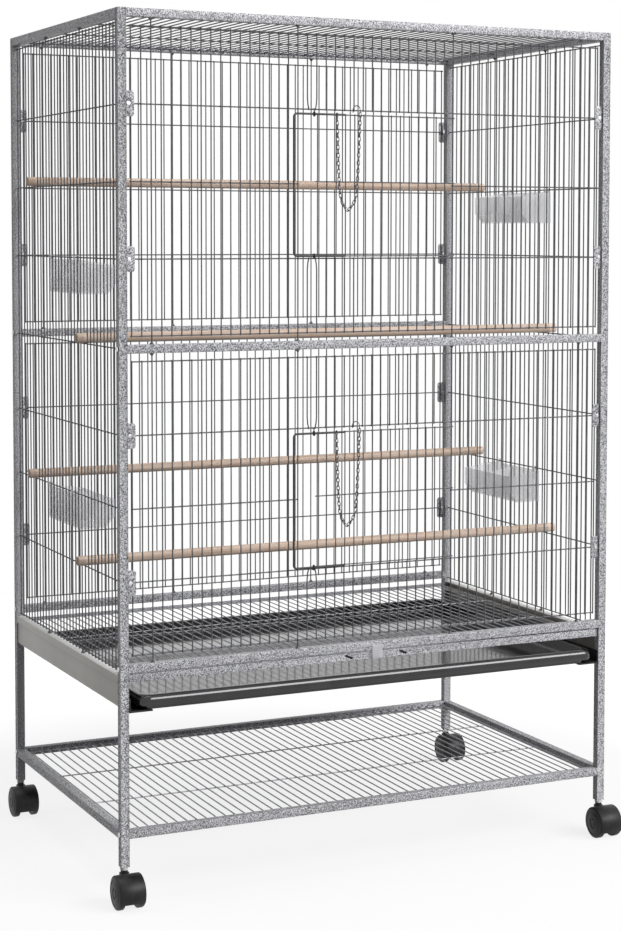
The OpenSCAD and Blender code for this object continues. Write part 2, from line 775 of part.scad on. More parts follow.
// A point of the chain's hanging line, s along it: [x, z, tilt of the link]
function chain_at(s, a, b, d, e, l1, l2) =
    let (arc_l = chain_bend_r * PI, turn = (s - l1) / arc_l)
    s < l1 ? [a[0] + (b[0] - a[0]) * s / l1, a[1] + (b[1] - a[1]) * s / l1, atan2(b[0] - a[0], b[1] - a[1])]
    : turn < 1 ? [
        (b[0] + d[0]) / 2 - chain_bend_r * cos(180 * turn), b[1] - chain_bend_r * sin(180 * turn),
        180 - 180 * turn
    ]
    : let (t = (s - l1 - arc_l) / l2)
    [d[0] + (e[0] - d[0]) * t, d[1] + (e[1] - d[1]) * t, atan2(e[0] - d[0], e[1] - d[1])];

module chain(arm_z, wire_z) {
    bend_x = eye_x + chain_spread / 2;
    bend_z = arm_z - chain_fall;
    hook_x = eye_x + chain_spread;
    a = [eye_x, arm_z - eye_drop - eye_in_r];
    b = [bend_x - chain_bend_r, bend_z];
    d = [bend_x + chain_bend_r, bend_z];
    e = [hook_x, wire_z - hook_tail];
    l1 = norm(b - a);
    l2 = norm(e - d);
    total = l1 + l2 + PI * chain_bend_r;
    count = floor(total / link_pitch);
    color(steel) {
        translate([eye_x, latch_y, arm_z - eye_drop]) rotate([0, 90, 0])
            bend(eye_ring_r, link_r, 360);
        for (k = [0 : count - 1]) {
            at = chain_at((k + 0.5) * link_pitch, a, b, d, e, l1, l2);
            translate([at[0], latch_y, at[1]]) rotate([0, at[2], 0]) rotate([0, 0, 90 * (k % 2)])
                chain_link();
        }
        hook(hook_x, wire_z);
    }
}

module hook(x, wire_z) {
    bend_z = wire_z + wire_r;
    front_l = bend_z - wire_z + hook_tail;
    translate([x, hook_mid_y, bend_z]) rotate([90, 0, 90]) bend(hook_bend_r, hook_r, 180);
    bar_z(hook_r, front_l, [x, latch_y, bend_z - front_l / 2]);
    bar_z(hook_r, hook_tail, [x, hook_back_y, bend_z - hook_tail / 2]);
}

// Perches and cups
module perch(y, wire_z) {
    z = wire_z + perch_rise;
    color(wood) difference() {
        bar_x(perch_d / 2, 2 * perch_half, [0, y, z]);
        for (sx = [-1, 1]) block(
            [2 * (perch_half - perch_slot_x), perch_slot_w, 2 * perch_d],
            [sx * perch_half, y, z]
        );
    }
}

// A cup's side outline, from the back wall into the cage, thinned by t
function cup_outline(t) = [
    [t, t - cup_h], [cup_depth - cup_slope_d, t - cup_h], [cup_depth - t, cup_slope_h - cup_h],
    [cup_depth - t, t > 0 ? over : cup_front_h - cup_h], [t, t > 0 ? over : 0]
];

module cup(sx, y, wire_z) {
    turn = sx > 0 ? 180 : 0;
    room_l = (cup_l - 3 * cup_wall) / 2;
    room_y = (room_l + cup_wall) / 2;
    reach = cup_gap + wire_d + slide_gap + cup_hook_t;
    hook_z = cup_drop + cup_rise + cup_hook_t / 2;
    color(clear) translate([sx * cup_back_x, y, wire_z - cup_drop]) rotate([0, 0, turn]) difference() {
        union() {
            rotate([90, 0, 0]) linear_extrude(height = cup_l, center = true) polygon(cup_outline(0));
            for (sy = [-1, 1]) {
                block(
                    [cup_wall, cup_hook_w, hook_z + cup_hook_t / 2 + cup_wall],
                    [cup_wall / 2, sy * cup_hook_in, (hook_z + cup_hook_t / 2 - cup_wall) / 2]
                );
                block(
                    [reach + cup_wall, cup_hook_w, cup_hook_t],
                    [(cup_wall - reach) / 2, sy * cup_hook_in, hook_z]
                );
                block(
                    [cup_hook_t, cup_hook_w, cup_lip],
                    [cup_hook_t / 2 - reach, sy * cup_hook_in, hook_z + (cup_hook_t - cup_lip) / 2]
                );
            }
        }
        for (sy = [-1, 1]) translate([0, sy * room_y, 0]) rotate([90, 0, 0])
            linear_extrude(height = room_l, center = true) polygon(cup_outline(cup_wall));
    }
}

// Casters
module caster(sx, sy) {
    neck_low = axle_z;
    color(black) translate([sx * post_x, sy * post_y, 0]) difference() {
        union() {
            difference() {
                bar_x(housing_r, 2 * housing_half_w, [0, hood_back_y, axle_z]);
                block(
                    [4 * wheel_r, 4 * wheel_r, 2 * housing_cut_z],
                    [0, hood_back_y, 0]
                );
            }
            bar_z(neck_r, neck_top - ring_h - neck_low, [0, 0, (neck_top - ring_h + neck_low) / 2]);
            bar_z(ring_r, neck_top - neck_low, [0, 0, (neck_top + neck_low) / 2]);
            bar_z(stem_r, stem_l + post_bottom - neck_low, [0, 0, (stem_l + post_bottom + neck_low) / 2]);
        }
        bar_x(axle_r + turn_clear, 4 * housing_half_w, [0, hood_back_y, axle_z]);
    }
}

module wheels(sx, sy) {
    face = [
        [0, wheel_in], [wheel_r, wheel_in], [wheel_r, wheel_in + wheel_w - wheel_dome],
        [wheel_r - wheel_dome_r, wheel_in + wheel_w], [0, wheel_in + wheel_w]
    ];
    color(black) translate([sx * post_x, sy * post_y + hood_back_y, axle_z]) union() {
        for (turn = [90, -90]) rotate([0, turn, 0]) rotate_extrude() polygon(face);
        bar_x(axle_r, 2 * wheel_in + wheel_w, [0, 0, 0]);
    }
}

placed() post(-1, -1);  // front_left_post
placed() post(1, -1);  // front_right_post
placed() post(-1, 1);  // back_left_post
placed() post(1, 1);  // back_right_post
placed() post_collars();
placed() rail_x(-1, rail_top_z);  // top_front_rail
placed() rail_x(1, rail_top_z);  // top_back_rail
placed() rail_y(-1, rail_top_z);  // top_left_rail
placed() rail_y(1, rail_top_z);  // top_right_rail
placed() flat_grille(rail_top_z);  // top_grille
placed() rail_x(-1, mid_rail_z);  // mid_front_rail
placed() rail_x(1, mid_rail_z);  // mid_back_rail
placed() rail_x(-1, bottom_rail_z);  // bottom_front_rail
placed() rail_x(1, bottom_rail_z);  // bottom_back_rail
placed() front_panel(upper_zs, mid_rail_z + tube_half, frame_top - tube_size);  // front_upper_panel
placed() front_panel(lower_zs, bottom_rail_z + tube_half, mid_rail_z - tube_half);  // front_lower_panel
placed() back_panel(upper_zs, mid_rail_z + tube_half, frame_top - tube_size);  // back_upper_panel
placed() back_panel(lower_zs, bottom_rail_z + tube_half, mid_rail_z - tube_half);  // back_lower_panel
placed() side_panel(-1);  // left_panel
placed() side_panel(1);  // right_panel
placed() corner_plates();
placed() plate_bolts();
placed() rail_bolts();
placed() apron(-1);  // left_apron
placed() apron(1);  // right_apron
placed() runner(-1);  // left_runner
placed() runner(1);  // right_runner
placed() tray();
placed() floor_grille();
placed() grille_clip();
placed() rail_x(-1, shelf_rail_z);  // shelf_front_rail
placed() rail_x(1, shelf_rail_z);  // shelf_back_rail
placed() rail_y(-1, shelf_rail_z);  // shelf_left_rail
placed() rail_y(1, shelf_rail_z);  // shelf_right_rail
placed() flat_grille(shelf_rail_z);  // shelf_grille
placed() door(upper_door_zs);  // upper_door
placed() door(lower_door_zs);  // lower_door
placed() latch(upper_door_zs);  // upper_latch
placed() latch(lower_door_zs);  // lower_latch
placed() latch_guides();
placed() chain(upper_door_zs[2], upper_zs[3]);  // upper_chain
placed() chain(lower_door_zs[2], lower_zs[3]);  // lower_chain
placed() perch(perch_back_y, upper_zs[2]);  // high_perch
placed() perch(perch_front_y, mid_rail_z);  // middle_perch
placed() perch(perch_back_y, lower_zs[2]);  // low_back_perch
placed() perch(perch_front_y, lower_zs[1]);  // low_front_perch
placed() cup(-1, cup_y_mid, upper_zs[1]);  // left_upper_cup
placed() cup(-1, cup_y_far, lower_zs[2]);  // left_lower_cup
placed() cup(1, cup_y_near, upper_zs[2]);  // right_upper_cup
placed() cup(1, cup_y_mid, lower_zs[2]);  // right_lower_cup
placed() caster(-1, -1);  // front_left_caster
placed() caster(1, -1);  // front_right_caster
placed() caster(-1, 1);  // back_left_caster
placed() caster(1, 1);  // back_right_caster
placed() wheels(-1, -1);  // front_left_wheels
placed() wheels(1, -1);  // front_right_wheels
placed() wheels(-1, 1);  // back_left_wheels
placed() wheels(1, 1);  // back_right_wheels
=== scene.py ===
# %% [markdown]
# A tall flight cage for small birds: a square-tube frame on casters, filled in with
# welded wire panels, with two doors, a tray, a shelf, perches and feeding cups.
# The solid model is the fixed frame here. Everything added below sits where that
# model says, so the first step is to load it.

# %% Load the solid model
import json
import math

import bmesh
import bpy
from mathutils import Matrix, Vector

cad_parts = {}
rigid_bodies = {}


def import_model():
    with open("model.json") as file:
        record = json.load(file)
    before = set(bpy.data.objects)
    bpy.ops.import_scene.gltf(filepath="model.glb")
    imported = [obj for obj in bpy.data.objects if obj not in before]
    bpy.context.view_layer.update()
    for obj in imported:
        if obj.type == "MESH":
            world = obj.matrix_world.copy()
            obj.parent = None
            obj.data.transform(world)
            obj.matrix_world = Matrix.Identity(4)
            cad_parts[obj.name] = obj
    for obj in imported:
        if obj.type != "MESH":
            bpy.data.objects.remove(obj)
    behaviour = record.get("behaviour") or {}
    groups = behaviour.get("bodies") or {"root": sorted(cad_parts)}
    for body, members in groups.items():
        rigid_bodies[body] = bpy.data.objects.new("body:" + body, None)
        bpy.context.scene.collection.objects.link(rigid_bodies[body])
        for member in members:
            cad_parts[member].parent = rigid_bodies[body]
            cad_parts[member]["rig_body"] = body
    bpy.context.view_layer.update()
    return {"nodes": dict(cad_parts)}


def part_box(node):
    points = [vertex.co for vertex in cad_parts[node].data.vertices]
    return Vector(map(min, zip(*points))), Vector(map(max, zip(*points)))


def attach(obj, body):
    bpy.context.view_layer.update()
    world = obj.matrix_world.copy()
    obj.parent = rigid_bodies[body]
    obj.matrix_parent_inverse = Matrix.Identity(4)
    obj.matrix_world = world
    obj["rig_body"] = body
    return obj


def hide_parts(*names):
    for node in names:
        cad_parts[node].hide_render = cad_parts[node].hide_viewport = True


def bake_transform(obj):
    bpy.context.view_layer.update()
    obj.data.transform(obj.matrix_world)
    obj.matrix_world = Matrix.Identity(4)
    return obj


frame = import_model()

# %% [markdown]
# The camera stands to the left of the cage and a little above its middle, far away
# behind a long lens, so the uprights stay parallel. A camera could be aimed with a
# constraint, but its three axes are known from the way the posts line up, so they
# are written as a matrix. The shift moves the picture without turning the camera.

# %% Camera
eye = Vector((-1.30741, -2.85007, 0.93037))
yaw, pitch, roll = 0.4533, -0.0582, 0.0022
ahead = Vector((
    math.sin(yaw) * math.cos(pitch), math.cos(yaw) * math.cos(pitch), math.sin(pitch),
))
level = Vector((math.cos(yaw), -math.sin(yaw), 0))
above = level.cross(ahead)
right = level * math.cos(roll) + above * math.sin(roll)
upward = above * math.cos(roll) - level * math.sin(roll)
bpy.ops.object.select_all(action="DESELECT")
bpy.ops.object.camera_add()
camera = bpy.context.object
camera.matrix_world = Matrix((
    (right.x, upward.x, -ahead.x, eye.x),
    (right.y, upward.y, -ahead.y, eye.y),
    (right.z, upward.z, -ahead.z, eye.z),
    (0, 0, 0, 1),
))
camera.data.lens = 78.3
camera.data.shift_x = -0.0492
camera.data.shift_y = -0.1231
bpy.context.scene.camera = camera
bpy.context.scene.view_settings.view_transform = "Standard"
print("camera at", [round(v, 3) for v in eye])

# %% [markdown]
# Every piece below starts as an empty mesh at the origin that is open in edit mode,
# so primitives can be added to it at their real place. Closing a piece merges its
# doubles, smooths its round faces, and ties it to the body of the cage that it moves
# with. Doing this in two small helpers keeps the modelling cells short.

# %% Opening and closing a piece
doubles, smooth_angle = 0.000001, math.radians(35)


def open_piece(name):
    if bpy.context.mode != "OBJECT":
        bpy.ops.object.mode_set(mode="OBJECT")
    bpy.ops.object.select_all(action="DESELECT")
    bpy.ops.object.add(type="MESH", enter_editmode=True, location=(0, 0, 0))
    piece = bpy.context.object
    piece.name = piece.data.name = name
    return piece


def close_piece(piece, body, slot, *nodes):
    if bpy.context.mode == "EDIT_MESH":
        bpy.ops.mesh.select_all(action="SELECT")
        bpy.ops.mesh.remove_doubles(threshold=doubles)
        bpy.ops.object.mode_set(mode="OBJECT")
    bpy.ops.object.select_all(action="DESELECT")
    piece.select_set(True)
    bpy.context.view_layer.objects.active = piece
    bpy.ops.object.shade_smooth_by_angle(angle=smooth_angle)
    if body:
        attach(piece, body)
    if nodes:
        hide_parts(*nodes)
    print(piece.name, len(piece.data.polygons), "faces")
    return piece


# %% [markdown]
# A fine steel chain hangs from each latch: an eye round the latch arm, some fifty
# small links, and a hook over a wire of the panel. It is what keeps the latch from
# being lost. One link is a torus pulled out to an oval, and the others are copies
# set along the hanging line. Neighbours lie at right angles, each turned by half of that
# from the front, so every link shows its hole as a slack chain does. Depths are counted
# from the middle of the cage, and set_back is how far that lies behind the origin.

# %% One chain link
set_back, nearly = 0.0165, 0.00001
link_wire, link_bend, link_straight, link_pitch = 0.0014, 0.0019, 0.0034, 0.0057
chain_y = -0.2561 + set_back


def stretched_link():
    bpy.ops.mesh.primitive_torus_add(
        major_radius=link_bend, minor_radius=link_wire / 2, major_segments=12,
        minor_segments=6, location=(0, 0, 0), rotation=(math.pi / 2, 0, 0),
    )
    link = bpy.context.object
    bpy.ops.object.transform_apply(location=True, rotation=True, scale=True)
    bpy.ops.object.mode_set(mode="EDIT")
    for side in (1, -1):
        bpy.ops.mesh.select_all(action="DESELECT")
        shape = bmesh.from_edit_mesh(link.data)
        for vert in shape.verts:
            vert.select_set(side * vert.co.z > nearly)
        shape.select_flush(True)
        bmesh.update_edit_mesh(link.data)
        bpy.ops.transform.translate(value=(0, 0, side * link_straight / 2))
    bpy.ops.object.mode_set(mode="OBJECT")
    return link


bpy.ops.object.select_all(action="DESELECT")
pattern_link = stretched_link()
pattern_link.name = "pattern_link"
link_height = round(pattern_link.dimensions.z, 5)
print("link", len(pattern_link.data.polygons), "faces, height", link_height)

# %% [markdown]
# A chain of small links doesn't hang in a wide bow. Its two sides come down almost
# upright and close to a point in the last three centimetres, so their distance is
# written as a function of the height. The line is cut into short steps, and a link is
# set down each time another pitch has been walked along it.

# %% Hang the links along their line
eye_x, hook_x, hook_r, hook_turn = -0.067, -0.0335, 0.0058, math.radians(35)
hook_y, hook_reach = -0.2508 + set_back, hook_r * math.sin(hook_turn)
chain_fall, eye_drop, hook_drop, line_steps = 0.1355, 0.0035, 0.0042, 120
bow_width, bow_height, side_slope = 0.012, 0.010, 0.0365


def side_distance(height):
    return bow_width * (1 - math.exp(-height / bow_height)) + side_slope * height


def hanging_line(arm_z, wire_z):
    low, middle, path = arm_z - chain_fall, (eye_x + hook_x) / 2, []
    for top_x, top_z, steps in (
        (eye_x, arm_z - eye_drop, range(line_steps, 0, -1)),
        (hook_x + hook_reach, wire_z - hook_drop, range(line_steps + 1)),
    ):
        for step in steps:
            height = (top_z - low) * (step / line_steps) ** 2
            share = side_distance(height) / side_distance(top_z - low)
            path.append(Vector((middle + (top_x - middle) * share, low + height)))
    places, walked, due = [], 0.0, link_pitch / 2
    for first, second in zip(path, path[1:]):
        heading = second - first
        while due <= walked + heading.length:
            at = first.lerp(second, (due - walked) / heading.length)
            twist = math.pi / 4 if len(places) % 2 else -math.pi / 4
            places.append(
                Matrix.Translation((at.x, chain_y, at.y))
                @ Matrix.Rotation(math.atan2(heading.x, heading.y), 4, "Y")
                @ Matrix.Rotation(twist, 4, "Z")
            )
            due = (len(places) + 0.5) * link_pitch
        walked += heading.length
    return places


print("chain line in", 2 * line_steps, "steps, links", link_pitch, "m apart")

# %% [markdown]
# The eye is a whole ring and the hook half of one: the lower half of a second ring is
# deleted, and a straight tail goes on from each of its ends. Both are added to one open
# piece, and the links are joined to it. The finished chain hangs from the latch arm to
# the panel wire and is tied to no body of the cage.

# %% Eyes, hooks and joined links
ring_wire_r, eye_r, eye_down = link_wire / 2, 0.0032, 0.00085
hook_rise, hook_slack, front_tail, back_tail = 0.001, 0.0001, 0.0052, 0.0042


def eye_and_hook(chain, arm_z, wire_z):
    bpy.ops.mesh.primitive_torus_add(
        major_radius=eye_r, minor_radius=ring_wire_r, major_segments=20, minor_segments=8,
        location=(eye_x, chain_y, arm_z - eye_down), rotation=(0, math.pi / 2, 0),
    )
    hook_z = wire_z + hook_rise
    bpy.ops.mesh.primitive_torus_add(
        major_radius=hook_r, minor_radius=ring_wire_r, major_segments=28, minor_segments=8,
        location=(hook_x, hook_y, hook_z), rotation=(0, math.pi / 2, hook_turn),
    )
    shape = bmesh.from_edit_mesh(chain.data)
    lower = [v for v in shape.verts if v.select and v.co.z < hook_z - hook_slack]
    bpy.ops.mesh.select_all(action="DESELECT")
    for vert in lower:
        vert.select_set(True)
    shape.select_flush(True)
    bmesh.update_edit_mesh(chain.data)
    bpy.ops.mesh.delete(type="VERT")
    for side, tail in ((1, front_tail), (-1, back_tail)):
        x = hook_x + side * hook_reach
        y = hook_y - side * hook_r * math.cos(hook_turn)
        bpy.ops.mesh.primitive_cylinder_add(
            vertices=8, radius=ring_wire_r, depth=tail, location=(x, y, hook_z - tail / 2)
        )


def safety_chain(name, node, arm_z, wire_z):
    copies = []
    for place in hanging_line(arm_z, wire_z):
        link = pattern_link.copy()
        link.data = pattern_link.data.copy()
        bpy.context.scene.collection.objects.link(link)
        link.matrix_world = place
        copies.append(link)
    chain = open_piece(name)
    eye_and_hook(chain, arm_z, wire_z)
    bpy.ops.object.mode_set(mode="OBJECT")
    bpy.ops.object.select_all(action="DESELECT")
    for link in copies:
        link.select_set(True)
    chain.select_set(True)
    bpy.context.view_layer.objects.active = chain
    bpy.ops.object.join()
    close_piece(chain, None, "chain_steel", node)
    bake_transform(chain)
    return chain


upper_arm, upper_wire, lower_arm, lower_wire = 1.098, 1.105, 0.645, 0.652
chains = [
    safety_chain("upper_safety_chain", "upper_chain", upper_arm, upper_wire),
    safety_chain("lower_safety_chain", "lower_chain", lower_arm, lower_wire),
]
bpy.data.objects.remove(pattern_link)

# %% [markdown]
# The cage stands in a white room, as in a catalogue picture. Lighting a floor to pure
# white would flood the cage with light, so the white is a glow that only the camera, the
# reflections and the clear plastic see. A Light Path node tells those rays from the
# others. Both the floor and the world need it, so it is made by one helper.

# %% What the camera and reflections see
def seen_share(tree):
    path = tree.nodes.new("ShaderNodeLightPath")
    share = path.outputs["Is Camera Ray"]
    for kind in ("Is Glossy Ray", "Is Transmission Ray"):
        either = tree.nodes.new("ShaderNodeMath")
        either.operation = "MAXIMUM"
        tree.links.new(share, either.inputs[0])
        tree.links.new(path.outputs[kind], either.inputs[1])
        share = either.outputs[0]
    return share


# %% [markdown]
# Near the casters more than half of the floor stays plain paper, which takes a soft
# shadow, and the glow is stronger to make up for it. Further out the glow takes over at a
# strength of one, which is white, so the floor meets the wall without a horizon.

# %% Floor
floor_size, paper_gray, glow_start, glow_full = 40, 0.32, 0.7, 2.2
near_spread, near_power = 0.42, 1.98
bpy.ops.object.select_all(action="DESELECT")
bpy.ops.mesh.primitive_plane_add(size=floor_size, location=(0, 0, 0))
floor = bpy.context.object
floor.name = "paper_floor"
paper = bpy.data.materials.new("white_paper")
paper.use_nodes = True
tree = paper.node_tree
tree.nodes.clear()
here = tree.nodes.new("ShaderNodeTexCoord")
distance = tree.nodes.new("ShaderNodeVectorMath")
distance.operation = "LENGTH"
spread, power = (tree.nodes.new("ShaderNodeMapRange") for _ in range(2))
for change, near in ((spread, near_spread), (power, near_power)):
    for name, level in (
        ("From Min", glow_start), ("From Max", glow_full), ("To Min", near), ("To Max", 1.0),
    ):
        change.inputs[name].default_value = level
    tree.links.new(distance.outputs["Value"], change.inputs["Value"])
share = tree.nodes.new("ShaderNodeMath")
share.operation = "MULTIPLY"
plain = tree.nodes.new("ShaderNodeBsdfDiffuse")
plain.inputs["Color"].default_value = (paper_gray, paper_gray, paper_gray, 1)
glow = tree.nodes.new("ShaderNodeEmission")
cover = tree.nodes.new("ShaderNodeMixShader")
surface = tree.nodes.new("ShaderNodeOutputMaterial")
tree.links.new(here.outputs["Object"], distance.inputs[0])
tree.links.new(spread.outputs["Result"], share.inputs[0])
tree.links.new(power.outputs["Result"], glow.inputs["Strength"])
tree.links.new(seen_share(tree), share.inputs[1])
tree.links.new(share.outputs[0], cover.inputs[0])
tree.links.new(plain.outputs[0], cover.inputs[1])
tree.links.new(glow.outputs[0], cover.inputs[2])
tree.links.new(cover.outputs[0], surface.inputs["Surface"])
floor.data.materials.append(paper)
print("floor", floor.dimensions.x, "m wide")

# %% [markdown]
# The light on the cage itself is weak from all round, so that faces turned to the left
# stay dark. A wide lamp stands high in front on the right, where the hammered paint and
# the tray's rounded lip throw it back to the camera, but the tray's far wall does not. A
# second one hangs overhead on the left and whitens every upward face.

# %% White surroundings and soft lamps
pure_white, fill_strength = (1, 1, 1, 1), 0.09
world = bpy.data.worlds.new("white_room")
bpy.context.scene.world = world
world.use_nodes = True
tree = world.node_tree
tree.nodes.clear()
fill = tree.nodes.new("ShaderNodeBackground")
fill.inputs["Color"].default_value = pure_white
fill.inputs["Strength"].default_value = fill_strength
white = tree.nodes.new("ShaderNodeBackground")
white.inputs["Color"].default_value = pure_white
choice = tree.nodes.new("ShaderNodeMixShader")
sky = tree.nodes.new("ShaderNodeOutputWorld")
tree.links.new(seen_share(tree), choice.inputs[0])
tree.links.new(fill.outputs[0], choice.inputs[1])
tree.links.new(white.outputs[0], choice.inputs[2])
tree.links.new(choice.outputs[0], sky.inputs["Surface"])


def soft_lamp(name, place, aim, width, height, power):
    bpy.ops.object.select_all(action="DESELECT")
    bpy.ops.object.light_add(type="AREA", location=place)
    lamp = bpy.context.object
    lamp.name = name
    lamp.data.shape = "RECTANGLE"
    lamp.data.size, lamp.data.size_y = width, height
    lamp.data.energy = power
    lamp.rotation_euler = (Vector(aim) - Vector(place)).to_track_quat("-Z", "Y").to_euler()
    print(name, power, "W")


soft_lamp("front_lamp", (2.4, -3.7, 2.9), (0, 0, 0.4), 3.9, 1.8, 240)
soft_lamp("top_lamp", (-0.7, 0.1, 3.5), (-0.2, 0, 0), 2.2, 2.2, 40)

# %% [markdown]
# The finishes are all written with nodes. Wiring each one by hand gets long, so one
# small class stands for a number that changes over a surface, and Python's own plus
# and times make the Math nodes.

# %% Shader maths in Python
class Value:
    def __init__(self, finish, socket):
        self.finish, self.socket = finish, socket

    def combine(self, operation, first, second):
        made = self.finish.node("ShaderNodeMath", {"operation": operation}, {0: first, 1: second})
        return Value(self.finish, made.outputs[0])

    def __add__(self, other):
        return self.combine("ADD", self, other)

    def __radd__(self, other):
        return self.combine("ADD", other, self)

    def __mul__(self, other):
        return self.combine("MULTIPLY", self, other)

    def __rmul__(self, other):
        return self.combine("MULTIPLY", other, self)


# %% [markdown]
# A second class opens a material and adds any other node from its type, its settings and
# its inputs. The settings come first, because they can change which sockets a node has.
# Nearly every finish here needs a noise, a ramp and a bump, so these have short methods.

# %% A material and its nodes
class Finish:
    def __init__(self, name):
        self.material = bpy.data.materials.new(name)
        self.material.use_nodes = True
        self.tree = self.material.node_tree
        self.shader = self.tree.nodes["Principled BSDF"]
        self.here = self.node("ShaderNodeTexCoord").outputs["Object"]

    def node(self, kind, settings=None, inputs=None):
        made = self.tree.nodes.new(kind)
        for name, setting in (settings or {}).items():
            if name == "stops":
                ramp = made.color_ramp.elements
                while len(ramp) < len(setting):
                    ramp.new(0.5)
                for element, (position, colour) in zip(ramp, setting):
                    element.position, element.color = position, (*colour, 1)
            else:
                setattr(made, name, setting)
        self.fill(made, inputs or {})
        return made

    def fill(self, made, inputs):
        for name, given in inputs.items():
            if isinstance(given, Value):
                given = given.socket
            if isinstance(given, bpy.types.NodeSocket):
                self.tree.links.new(given, made.inputs[name])
            else:
                made.inputs[name].default_value = given

    def noise(self, scale, detail, stretch=(1, 1, 1)):
        turned = self.node("ShaderNodeMapping", {}, {"Vector": self.here, "Scale": stretch})
        made = self.node("ShaderNodeTexNoise", {}, {
            "Vector": turned.outputs[0], "Scale": scale, "Detail": detail,
        })
        return Value(self, made.outputs[0])

    def ramp(self, value, *stops):
        return self.node("ShaderNodeValToRGB", {"stops": stops}, {0: value}).outputs[0]

    def bump(self, height, strength, depth):
        made = self.node("ShaderNodeBump", {}, {
            "Strength": strength, "Distance": depth, "Height": height,
        })
        return made.outputs[0]

    def surface(self, **inputs):
        self.fill(self.shader, {name.replace("_", " "): given for name, given in inputs.items()})
        return self.material


print("shader helpers ready")

# %% [markdown]
# The tubes and plates have a silver hammer finish, a thick paint that draws itself into
# pale dimples with dark seams between them while it dries. A noise of a dimple's size
# gives both, so the dark colour lies in the low places of the relief. A finer noise for
# the flake in it makes the gloss uneven. It is only a little metallic, or its faces to
# the left would mirror the white room instead of staying dark.

# %% Hammered silver paint
def hammered_silver():
    finish = Finish("hammered_silver")
    dimples = finish.noise(660, 1.5)
    flake = finish.noise(1700, 1)
    cloud = finish.noise(6, 2)
    tone = dimples * 0.8 + flake * 0.14 + cloud * 0.06
    return finish.surface(
        Base_Color=finish.ramp(
            tone, (0.38, (0.09, 0.09, 0.1)), (0.49, (0.4, 0.4, 0.42)), (0.6, (0.76, 0.76, 0.79))
        ),
        Metallic=0.06,
        Roughness=0.36 + 0.22 * flake,
        Specular_IOR_Level=0.12,
        Coat_Weight=0.12,
        Coat_Roughness=0.2,
        Normal=finish.bump(dimples, 0.3, 0.0004),
    )


silver_paint = hammered_silver()
print(silver_paint.name)

# %% [markdown]
# The wires carry the same paint, thinner and darker, because it runs off a round wire
# and pools at the welds. A coarse noise makes it uneven, and a fine one roughens it. The
# floor grille and the shelf get a paler tone, which is partly a paler paint and partly
# painted light for the light that reaches them. The latches are almost black, so the two
# tones are left open.

# %% Wire paint
def thin_paint(name, low, high):
    finish = Finish(name)
    pools = finish.noise(60, 4)
    grit = finish.noise(1500, 2)
    return finish.surface(
        Base_Color=finish.ramp(
            pools, (0.3, (low, low, low * 1.07)), (0.7, (high, high, high * 1.07))
        ),
        Metallic=0.3,
        Roughness=0.38 + 0.2 * grit,
        Normal=finish.bump(grit, 0.15, 0.0002),
    )


wire_paint = thin_paint("thin_wire_paint", 0.055, 0.13)
# paler tone: partly a paler paint, partly painted light on the flat grilles
painted_light_grille_paint = thin_paint("grille_paint_with_painted_light", 0.33, 0.52)
latch_paint = thin_paint("dark_latch_paint", 0.018, 0.05)
print(wire_paint.name, painted_light_grille_paint.name, latch_paint.name)

# %% [markdown]
# The aprons are folded sheet steel with a taupe powder coat. Powder coat has a low
# orange-peel relief of about a millimetre and hardly any gloss, so noise at that size
# drives the bump, and a slow cloud keeps the large flat side from looking like card. The
# upward faces at the top of an apron take a near-white coat of the same kind, which is a
# painted highlight for the light falling on them from above.

# %% Powder coat of the aprons
def powder_coat(name, low, high):
    finish = Finish(name)
    peel = finish.noise(700, 2)
    cloud = finish.noise(7, 3)
    return finish.surface(
        Base_Color=finish.ramp(cloud, (0.3, low), (0.7, high)),
        Metallic=0.15,
        Roughness=0.42 + 0.12 * peel,
        Normal=finish.bump(peel, 0.2, 0.0003),
    )


sheet_coat = powder_coat("taupe_powder_coat", (0.53, 0.51, 0.48), (0.64, 0.62, 0.585))
# near-white coat: a painted highlight for upward faces lit from above
flange_painted_highlight = powder_coat("painted_highlight_flange_coat", (0.84, 0.835, 0.83), (0.92, 0.915, 0.91))
print(sheet_coat.name, flange_painted_highlight.name)

# %% [markdown]
# There are two black plastics near the floor. The tray is formed from a glossy sheet with
# faint scuffs along the way it slides. Such a sheet is never quite flat, so a slow wave in
# the bump makes its reflections swim. The casters are moulded in a satin plastic with a
# fine spark texture, which is far too small to model and is a bump as well.

# %% Black plastics
def glossy_black():
    finish = Finish("glossy_black_plastic")
    scuff = finish.noise(40, 6, (1, 0.15, 1))
    wave = finish.noise(22, 2)
    return finish.surface(
        Base_Color=finish.ramp(
            scuff, (0.35, (0.008, 0.008, 0.009)), (0.75, (0.022, 0.022, 0.025))
        ),
        Roughness=0.12 + 0.08 * scuff,
        Specular_IOR_Level=0.1,
        Coat_Weight=1.0,
        Coat_Roughness=0.08,
        Normal=finish.bump(wave, 0.012, 0.001),
    )


def satin_black():
    finish = Finish("satin_caster_plastic")
    spark = finish.noise(2200, 2)
    dust = finish.noise(120, 5)
    return finish.surface(
        Base_Color=finish.ramp(
            dust, (0.4, (0.005, 0.005, 0.006)), (0.8, (0.018, 0.018, 0.019))
        ),
        Roughness=0.36 + 0.2 * dust,
        Specular_IOR_Level=0.3,
        Normal=finish.bump(spark, 0.2, 0.0001),
    )


tray_plastic, caster_plastic = glossy_black(), satin_black()
print(tray_plastic.name, caster_plastic.name)

# %% [markdown]
# The cups and the clip are moulded in a milky plastic that is thin enough to see the
# wires through. Glass with refraction would bend those wires, which a flat thin wall
# doesn't do, so the wall is a pale plastic that is simply part transparent, and the flow
# marks of the mould change how much.

# %% Milky clear plastic
def milky_plastic():
    finish = Finish("milky_clear_plastic")
    flow = finish.noise(35, 3, (1, 1, 0.3))
    return finish.surface(
        Base_Color=finish.ramp(flow, (0.3, (0.86, 0.86, 0.89)), (0.7, (0.95, 0.95, 0.97))),
        Alpha=0.25 + 0.18 * flow,
        Roughness=0.14 + 0.12 * flow,
        Normal=finish.bump(flow, 0.05, 0.001),
    )


clear_plastic = milky_plastic()
print(clear_plastic.name)

